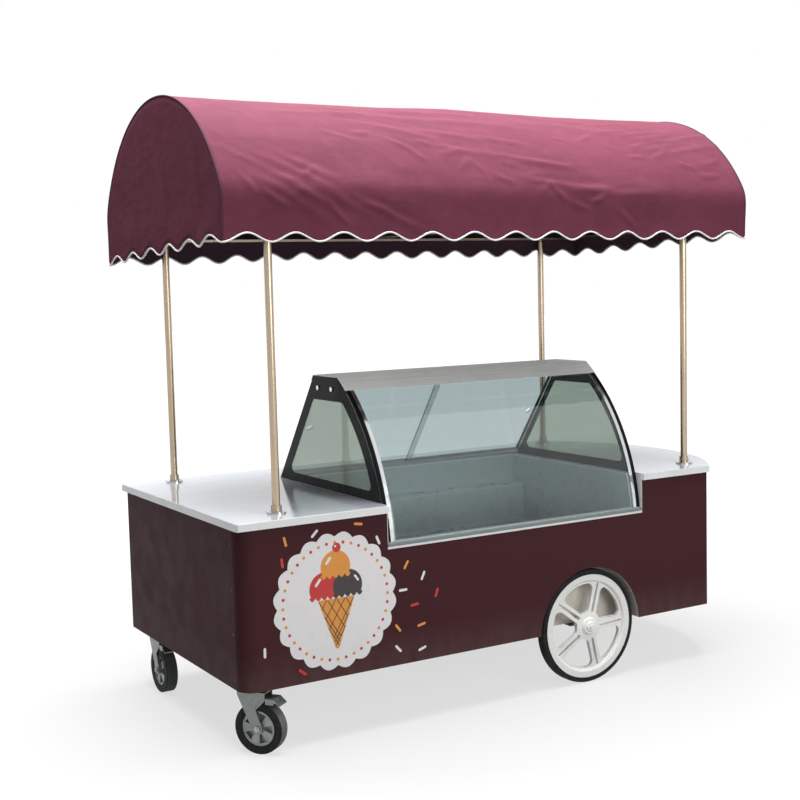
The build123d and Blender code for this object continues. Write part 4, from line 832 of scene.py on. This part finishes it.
def tyre_outline(inner, outer, half, shoulder, tread_grooves, side_grooves):
    """Outline of (radius, along) from the inner edge by one side to the tread, and mirrored."""
    points = [(inner, half)]
    for radius in side_grooves:
        points += [(radius - GROOVE_HALF, half), (radius, half - GROOVE_DEPTH), (radius + GROOVE_HALF, half)]
    for k in range(SHOULDER_STEPS + 1):
        angle = pi / 2 * k / SHOULDER_STEPS
        points.append((outer - shoulder * (1 - sin(angle)), half - shoulder * (1 - cos(angle))))
    for along in tread_grooves:
        points += [(outer, along + GROOVE_HALF), (outer - GROOVE_DEPTH, along), (outer, along - GROOVE_HALF)]
    return points + [(radius, -along) for radius, along in reversed(points)]


def tyre(node, joint, outline, steps, body, looks):
    """Outline turned about a joint's axis in place of a CAD tyre; the last look goes on a smooth tread."""
    centre = Vector(joint["pos_m"])
    axis = Vector(joint["axis"]).normalized()
    side = axis.orthogonal().normalized()
    other = axis.cross(side)
    count = len(outline)
    verts = []
    faces = []
    for k in range(steps):
        angle = 2 * pi * k / steps
        spoke = side * cos(angle) + other * sin(angle)
        verts += [centre + axis * along + spoke * radius for radius, along in outline]
        here = k * count
        after = (k + 1) % steps * count
        for m in range(count):
            n = (m + 1) % count
            faces.append((here + m, here + n, after + n, after + m))
    mesh = mesh_of(f"{node}_look", verts, faces)
    shape = bmesh.new()
    shape.from_mesh(mesh)
    bmesh.ops.recalc_face_normals(shape, faces=shape.faces)
    shape.to_mesh(mesh)
    shape.free()
    made = piece(f"{node}_look", mesh, body, looks, sharp=50)
    outer = max(radius for radius, _ in outline)
    for face in mesh.polygons:
        m = face.index % count
        on_tread = min(outline[m][0], outline[(m + 1) % count][0]) == outer
        face.material_index = len(looks) - 1 if on_tread else 0
    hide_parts(node)


wheel_outline = tyre_outline(
    inner=0.2061, outer=0.226, half=0.021, shoulder=0.009,
    tread_grooves=(0.0085, 0.003), side_grooves=(0.2105, 0.2155),
)
caster_outline = tyre_outline(
    inner=0.0621, outer=0.0905, half=0.023, shoulder=0.003, tread_grooves=(), side_grooves=(0.0680,),
)
for end in ("front", "rear"):
    tyre(
        f"wheel_{end}_tyre", joints[f"wheel_{end}_spin"], wheel_outline, WHEEL_STEPS,
        f"wheel_{end}", [tyre_rubber],
    )
    tyre(
        f"caster_{end}_tyre", joints[f"caster_{end}_roll"], caster_outline, CASTER_STEPS,
        f"caster_{end}_wheel", [caster_rubber, painted_light_tread],
    )

# Grey bead that holds the foot of the front glass in its sill
SILL_HEIGHT = 0.023
BEAD_HEIGHT = 0.0145
BEAD_PROUD = 0.0016
BEAD_STEPS = 8


def glazing_bead():
    """Rounded bead along the upper part of the sill's face."""
    low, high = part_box("display_trim")
    sill_top = low[2] + SILL_HEIGHT
    profile = []
    for k in range(BEAD_STEPS + 1):
        angle = pi * k / BEAD_STEPS
        z = sill_top - BEAD_HEIGHT * (1 + cos(angle)) / 2
        profile.append((low[1] - BEAD_PROUD * sin(angle) ** 0.5, z))
    count = len(profile)
    verts = [(x, y, z) for x in (low[0], high[0]) for y, z in profile]
    faces = [(k, k + 1, count + k + 1, count + k) for k in range(count - 1)]
    faces += [tuple(range(count - 1, -1, -1)), tuple(range(count, 2 * count))]
    grey = satin("glazing_bead", (122, 134, 131), (108, 119, 117))
    piece("glazing_bead", mesh_of("glazing_bead", verts, faces), "cart", [grey], sharp=50)


glazing_bead()

# Screws, bolts and nuts: outlines of (radius, rise) from the foot to the middle of the top
SCREW = [
    (0.0042, 0.0), (0.0042, 0.0008), (0.0034, 0.0019), (0.0020, 0.0025), (0.0019, 0.0016), (0.0008, 0.0015),
]
BOLT = [
    (0.0085, 0.0), (0.0085, 0.0012), (0.0066, 0.0013), (0.0066, 0.0052), (0.0056, 0.0060), (0.0020, 0.0060),
]
NUT = [
    (0.0116, 0.0), (0.0116, 0.0050), (0.0100, 0.0062), (0.0054, 0.0062), (0.0054, 0.0086), (0.0045, 0.0092),
]
ROUND = 12
HEXAGON = 6
UP = (0, 0, 1)
DOWN = (0, 0, -1)
LEFTWARDS = (-1, 0, 0)
REARWARDS = (0, 1, 0)

POSTS = ("post_front_left", "post_front_right", "post_rear_left", "post_rear_right")
FLANGE_SCREW_RING = 0.0265
FLANGE_SCREW_TURNS = (30, 150, 270)
PLATE_BOLT_X = 0.028
PLATE_BOLT_Y = 0.032
PLATE_UNDERSIDE = 0.006
FORK_LEG_FACE = 0.029
HINGE_HEIGHT = 0.056
LEAF_FACE = REAR_FACE + 0.002
LEAF_MIDDLE = 0.017
LEAF_RISE = 0.0285
LEAF_SCREWS = (0.007, 0.021)
SEAM_INSET = 0.012
SEAM_FOOT = 0.036
SEAM_STEP = 0.156
SEAM_SCREWS = 4
VENT_INSET = 0.007


def heads(name, places, normal, outline, sides, body, look):
    """Small turned heads that stand along a normal."""
    normal = Vector(normal).normalized()
    side = normal.orthogonal().normalized()
    other = normal.cross(side)
    verts = []
    faces = []
    for place in places:
        for ring, (radius, rise) in enumerate(outline):
            first = len(verts)
            for k in range(sides):
                angle = 2 * pi * (k + 0.5) / sides
                spoke = side * cos(angle) + other * sin(angle)
                verts.append(Vector(place) + normal * rise + spoke * radius)
                if ring:
                    n = (k + 1) % sides
                    faces.append((first - sides + k, first - sides + n, first + n, first + k))
        faces.append(tuple(range(len(verts) - sides, len(verts))))
    piece(name, mesh_of(name, verts, faces), body, [look], sharp=40)


def flange_screws():
    """Three screws in the flange at each post's foot."""
    places = []
    for post in POSTS:
        x, y = middle(post)
        for turn in FLANGE_SCREW_TURNS:
            dx = FLANGE_SCREW_RING * cos(radians(turn))
            dy = FLANGE_SCREW_RING * sin(radians(turn))
            places.append((x + dx, y + dy, FLANGE_TOP))
    heads("flange_screws", places, UP, SCREW, ROUND, "cart", bright)


def plate_bolts():
    """Four bolts under each caster plate."""
    places = []
    for plate in ("caster_front_plate", "caster_rear_plate"):
        x, y = middle(plate)
        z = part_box(plate)[1][2] - PLATE_UNDERSIDE
        for dx in (-PLATE_BOLT_X, PLATE_BOLT_X):
            places += [(x + dx, y + dy, z) for dy in (-PLATE_BOLT_Y, PLATE_BOLT_Y)]
    heads("caster_plate_bolts", places, DOWN, BOLT, HEXAGON, "cart", zinc_plate)


def axle_nuts():
    """A nut at both ends of each caster's axle, outside the fork's legs."""
    steel = slot_looks["hinge_steel"]
    for caster in ("caster_front", "caster_rear"):
        roll = joints[f"{caster}_roll"]
        for way, end in ((1, "a"), (-1, "b")):
            outward = Vector(roll["axis"]) * way
            place = Vector(roll["pos_m"]) + outward * FORK_LEG_FACE
            name = f"{caster}_nut_{end}"
            heads(name, [place], outward, NUT, HEXAGON, f"{caster}_swivel", steel)


def hinge_screws():
    """Two screws in each hinge leaf, on the frame and on the door."""
    low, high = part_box("storage_hinges")
    pin = joints["storage_open"]["pos_m"][0]
    on_frame = []
    on_door = []
    for foot in (low[2], high[2] - HINGE_HEIGHT):
        for rise in LEAF_SCREWS:
            on_frame.append((pin - LEAF_MIDDLE, LEAF_FACE, foot + rise))
            on_door.append((pin + LEAF_MIDDLE, LEAF_FACE, foot + LEAF_RISE + rise))
    heads("hinge_screws_frame", on_frame, REARWARDS, SCREW, ROUND, "cart", bright)
    heads("hinge_screws_door", on_door, REARWARDS, SCREW, ROUND, "storage", bright)


def seam_screws():
    """Dull screws up both edges of the left end."""
    low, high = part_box("left_panel")
    places = []
    for y in (low[1] + SEAM_INSET, high[1] - SEAM_INSET):
        places += [(low[0], y, low[2] + SEAM_FOOT + SEAM_STEP * k) for k in range(SEAM_SCREWS)]
    dull = satin("dull_head", (88, 76, 77), (74, 62, 64))
    heads("seam_screws", places, LEFTWARDS, SCREW, ROUND, "cart", dull)


def vent_screws():
    """A screw in each corner of the vent grille."""
    low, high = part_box("vent_grille")
    places = []
    for x in (low[0] + VENT_INSET, high[0] - VENT_INSET):
        places += [(x, high[1], z) for z in (low[2] + VENT_INSET, high[2] - VENT_INSET)]
    heads("vent_screws", places, REARWARDS, SCREW, ROUND, "cart", bright)


flange_screws()
plate_bolts()
axle_nuts()
hinge_screws()
seam_screws()
vent_screws()

# Printed picture on the left part of the front: a round badge with a cone of scoops, and sprinkles about it.
# A shape is an outline of (x, z) from the badge's middle, with the layer that it lies in.
BADGE_X = -0.788
BADGE_Z = 0.497
LAYER_STEP = 0.00012
INKS = {
    "white": ((236, 234, 234), (222, 220, 222)),
    "red": ((198, 44, 40), (176, 40, 38)),
    "ochre": ((226, 150, 58), (206, 134, 52)),
    "dark": ((44, 30, 32), (60, 42, 44)),
}
DISC_STEPS = 48
DOT_STEPS = 16
CAP_STEPS = 8
LOBE_STEPS = 10

BADGE_RADIUS = 0.228
BADGE_LOBES = 20
LOBE_DEPTH = 0.016
DOTS = 40
DOT_RING = 0.207
DOT_RADIUS = 0.0058

CONE_TOP = 0.010
CONE_HALF = 0.072
CONE_TIP = -0.168
TIP_HALF = 0.006
WAFFLE_SLOPE = 1.6
WAFFLE_SHARE = 0.9
WAFFLE_WIDTH = 0.003
WAFFLE_LEFT = (-0.045, -0.09)

SCOOP_RADIUS = 0.058
SCOOP_LOW = radians(-25)
SCOOP_STEPS = 28
FRILLS = 5
FRILL_STEPS = 40
FRILL_HALF = 1.02 * SCOOP_RADIUS
FRILL_DROP = 0.2 * SCOOP_RADIUS
FRILL_GAP = 0.004
SCOOP_SIDE = 0.046
SCOOP_RISE = 0.050
TOP_SCOOP_RISE = 0.122
CHERRY = (0.006, 0.189, 0.0165)

# Glints on the scoops, as in capsule(), and on the cherry
RED_GLINT = (-0.070, 0.074, 0.024, 0.010, 0.9)
DARK_GLINT = (0.082, 0.072, 0.020, 0.008, 2.2)
OCHRE_GLINT = (-0.028, 0.146, 0.022, 0.010, 0.9)
CHERRY_GLINT = (0.001, 0.194, 0.004)

SPRINKLES = 46
SPRINKLE_LENGTH = 0.026
SPRINKLE_WIDTH = 0.0095
SPRINKLE_TURN = 1.7
SPIRAL_TURN = 2.39996
SPIRAL_START = 0.272
SPIRAL_STEP = 0.0042
SPIRAL_HEIGHT = 0.86
PRINT_LEFT = -1.070
PRINT_RIGHT = -0.36
PRINT_FOOT = 0.262
PRINT_TOP = 0.765
WINDOW_LEFT = -0.600
WINDOW_FOOT = 0.622


def disc(x, z, radius, steps):
    """Round outline."""
    angles = [2 * pi * k / steps for k in range(steps)]
    return [(x + radius * cos(angle), z + radius * sin(angle)) for angle in angles]


def capsule(x, z, length, width, turn):
    """Stroke with round ends."""
    out = []
    for end in (0, 1):
        for k in range(CAP_STEPS + 1):
            angle = pi * (end + k / CAP_STEPS) - pi / 2
            u = length * (0.5 - end) + width / 2 * cos(angle)
            v = width / 2 * sin(angle)
            out.append((x + u * cos(turn) - v * sin(turn), z + u * sin(turn) + v * cos(turn)))
    return out


def scoop(x, z):
    """Ball with a frilled lower edge."""
    out = []
    for k in range(SCOOP_STEPS + 1):
        angle = SCOOP_LOW + (pi - 2 * SCOOP_LOW) * k / SCOOP_STEPS
        out.append((x + SCOOP_RADIUS * cos(angle), z + SCOOP_RADIUS * sin(angle)))
    foot = z + SCOOP_RADIUS * sin(SCOOP_LOW) - FRILL_GAP
    for k in range(FRILL_STEPS + 1):
        share = k / FRILL_STEPS
        drop = FRILL_DROP * abs(sin(FRILLS * pi * share))
        out.append((x + FRILL_HALF * (2 * share - 1), foot - drop))
    return out


def badge(inks):
    """White badge with round lobes and a ring of dots."""
    steps = BADGE_LOBES * LOBE_STEPS
    edge = []
    for k in range(steps):
        angle = 2 * pi * k / steps
        reach = BADGE_RADIUS + LOBE_DEPTH * abs(sin(BADGE_LOBES * angle / 2))
        edge.append((reach * cos(angle), reach * sin(angle)))
    inks["white"].append((edge, 1))
    for k in range(DOTS):
        angle = 2 * pi * k / DOTS
        dot = disc(DOT_RING * cos(angle), DOT_RING * sin(angle), DOT_RADIUS, DOT_STEPS)
        inks["red" if k % 2 else "ochre"].append((dot, 2))


def cone(inks):
    """Cone with dark lines from its top and left edge to its right edge, and their mirror images."""
    edge = [(-CONE_HALF, CONE_TOP), (-TIP_HALF, CONE_TIP), (TIP_HALF, CONE_TIP), (CONE_HALF, CONE_TOP)]
    inks["ochre"].append((edge, 2))
    lean = (CONE_HALF - TIP_HALF) / (CONE_TOP - CONE_TIP)
    starts = [(x, CONE_TOP) for x in (CONE_HALF / 2, 0.0, -CONE_HALF / 2, -CONE_HALF)]
    starts += [(-TIP_HALF - lean * (z - CONE_TIP), z) for z in WAFFLE_LEFT]
    for x, z in starts:
        end_x = (TIP_HALF + lean * (z - CONE_TIP + WAFFLE_SLOPE * x)) / (1 + lean * WAFFLE_SLOPE)
        end_z = z - WAFFLE_SLOPE * (end_x - x)
        length = WAFFLE_SHARE * hypot(end_x - x, end_z - z)
        for way, layer in ((-1, 3), (1, 4)):
            turn = atan2(end_z - z, way * (end_x - x))
            line = capsule(way * (x + end_x) / 2, (z + end_z) / 2, length, WAFFLE_WIDTH, turn)
            inks["dark"].append((line, layer))


def scoops(inks):
    """Three scoops and a cherry, each with a glint."""
    inks["red"].append((scoop(-SCOOP_SIDE, SCOOP_RISE), 5))
    inks["dark"].append((scoop(SCOOP_SIDE, SCOOP_RISE), 6))
    inks["ochre"].append((scoop(0.0, TOP_SCOOP_RISE), 7))
    inks["red"].append((disc(*CHERRY, DISC_STEPS), 8))
    inks["white"].append((capsule(*RED_GLINT), 6))
    inks["white"].append((capsule(*DARK_GLINT), 7))
    inks["white"].append((capsule(*OCHRE_GLINT), 8))
    inks["white"].append((disc(*CHERRY_GLINT, DOT_STEPS), 9))


def sprinkles(inks):
    """Strokes on a spiral about the badge, where they lie on the panel and clear of the display."""
    for k in range(SPRINKLES):
        angle = SPIRAL_TURN * k
        reach = SPIRAL_START + SPIRAL_STEP * k
        x = reach * cos(angle)
        z = SPIRAL_HEIGHT * reach * sin(angle)
        on_panel = PRINT_LEFT < BADGE_X + x < PRINT_RIGHT and PRINT_FOOT < BADGE_Z + z < PRINT_TOP
        in_window = BADGE_X + x > WINDOW_LEFT and BADGE_Z + z > WINDOW_FOOT
        if on_panel and not in_window:
            ink = ("white", "red", "ochre")[k % 3]
            inks[ink].append((capsule(x, z, SPRINKLE_LENGTH, SPRINKLE_WIDTH, SPRINKLE_TURN * k), 1))


def film(name, shapes, look):
    """Thin film on the front panel, each shape as thick as its layer."""
    verts = []
    faces = []
    for outline, layer in shapes:
        first = len(verts)
        count = len(outline)
        for y in (FRONT_FACE - LAYER_STEP * layer, FRONT_FACE):
            verts += [(BADGE_X + x, y, BADGE_Z + z) for x, z in outline]
        loops = [tuple(range(first, first + count))]
        for k in range(count):
            n = (k + 1) % count
            loops.append((first + k, first + count + k, first + count + n, first + n))
        area = sum(a[0] * b[1] - b[0] * a[1] for a, b in zip(outline, outline[1:] + outline[:1]))
        faces += loops if area > 0 else [loop[::-1] for loop in loops]
    piece(name, mesh_of(name, verts, faces), "cart", [look], sharp=30)


def printed_picture():
    """The picture, one film for each ink."""
    inks = {ink: [] for ink in INKS}
    for part in (badge, cone, scoops, sprinkles):
        part(inks)
    for ink, (color, patch) in INKS.items():
        film(f"print_{ink}", inks[ink], satin(f"print_{ink}", color, patch))


printed_picture()

# Floor, light and camera; angles in degrees, sensor and lens in millimetres
FLOOR_HALF = 40
FLOOR_GREY = (121, 121, 121)
FLOOR_GLOW = 0.66
FADE_START = 1.2
FADE_END = 5.0
SKY_LIGHT = 0.17
CAMERA_PLACE = (-2.8869, -4.5275, 1.6015)
CAMERA_YAW = 30.817
CAMERA_PITCH = 5.169
CAMERA_ROLL = -1.4347
SENSOR_WIDTH = 36.0
LENS = 59.1246


def floor():
    """Pale floor that fades to white and keeps the shadow."""
    corners = [(FLOOR_HALF * x, FLOOR_HALF * y, 0) for x, y in ((-1, -1), (1, -1), (1, 1), (-1, 1))]
    mesh = mesh_of("floor", corners, [(0, 1, 2, 3)])
    obj = bpy.data.objects.new("floor", mesh)
    bpy.context.scene.collection.objects.link(obj)
    look = Look("floor", FLOOR_GREY, rough=0.9)
    away = look.node("ShaderNodeVectorMath", {0: look.place}, operation="LENGTH").outputs["Value"]
    glow = look.span(away, FADE_START, FADE_END, FLOOR_GLOW, 1.0)
    look.put("Emission Color", WHITE)
    look.put("Emission Strength", look.math("MULTIPLY", look.seen(), glow))
    mesh.materials.append(look.done())


def sky():
    """White to the eye, in gloss and through glass; a soft grey as a light."""
    world = bpy.data.worlds.new("studio")
    bpy.context.scene.world = world
    world.use_nodes = True
    nodes = Nodes(world.node_tree)
    shade = world.node_tree.nodes["Background"]
    nodes.feed(shade.inputs["Color"], WHITE)
    nodes.feed(shade.inputs["Strength"], nodes.span(nodes.seen(), 0.0, 1.0, SKY_LIGHT, 1.0))


def soft_light(name, place, target, size, watts):
    """Square soft light aimed at a target."""
    lamp = bpy.data.lights.new(name, "AREA")
    lamp.size = size
    lamp.energy = watts
    obj = bpy.data.objects.new(name, lamp)
    bpy.context.scene.collection.objects.link(obj)
    away = Vector(place) - Vector(target)
    obj.matrix_world = Matrix.Translation(place) @ away.to_track_quat("Z", "Y").to_matrix().to_4x4()


def camera():
    """Camera at the photograph's place, from its yaw, pitch and roll."""
    yaw, pitch, roll = radians(CAMERA_YAW), radians(CAMERA_PITCH), radians(CAMERA_ROLL)
    ahead = Vector((sin(yaw) * cos(pitch), cos(yaw) * cos(pitch), -sin(pitch)))
    level = Vector((cos(yaw), -sin(yaw), 0))
    raised = level.cross(ahead)
    right = cos(roll) * level + sin(roll) * raised
    up = -sin(roll) * level + cos(roll) * raised
    data = bpy.data.cameras.new("camera")
    data.sensor_width = SENSOR_WIDTH
    data.lens = LENS
    obj = bpy.data.objects.new("camera", data)
    bpy.context.scene.collection.objects.link(obj)
    turn = Matrix((right, up, -ahead)).transposed().to_4x4()
    obj.matrix_world = Matrix.Translation(CAMERA_PLACE) @ turn
    bpy.context.scene.camera = obj


floor()
sky()
soft_light("top_light", place=(-0.2, 0.1, 5.2), target=(0, 0, 1.2), size=4.2, watts=600)
soft_light("key_light", place=(0.6, -5.8, 2.6), target=(0, 0, 0.9), size=3.0, watts=145)
camera()
bpy.context.scene.view_settings.view_transform = "Standard"
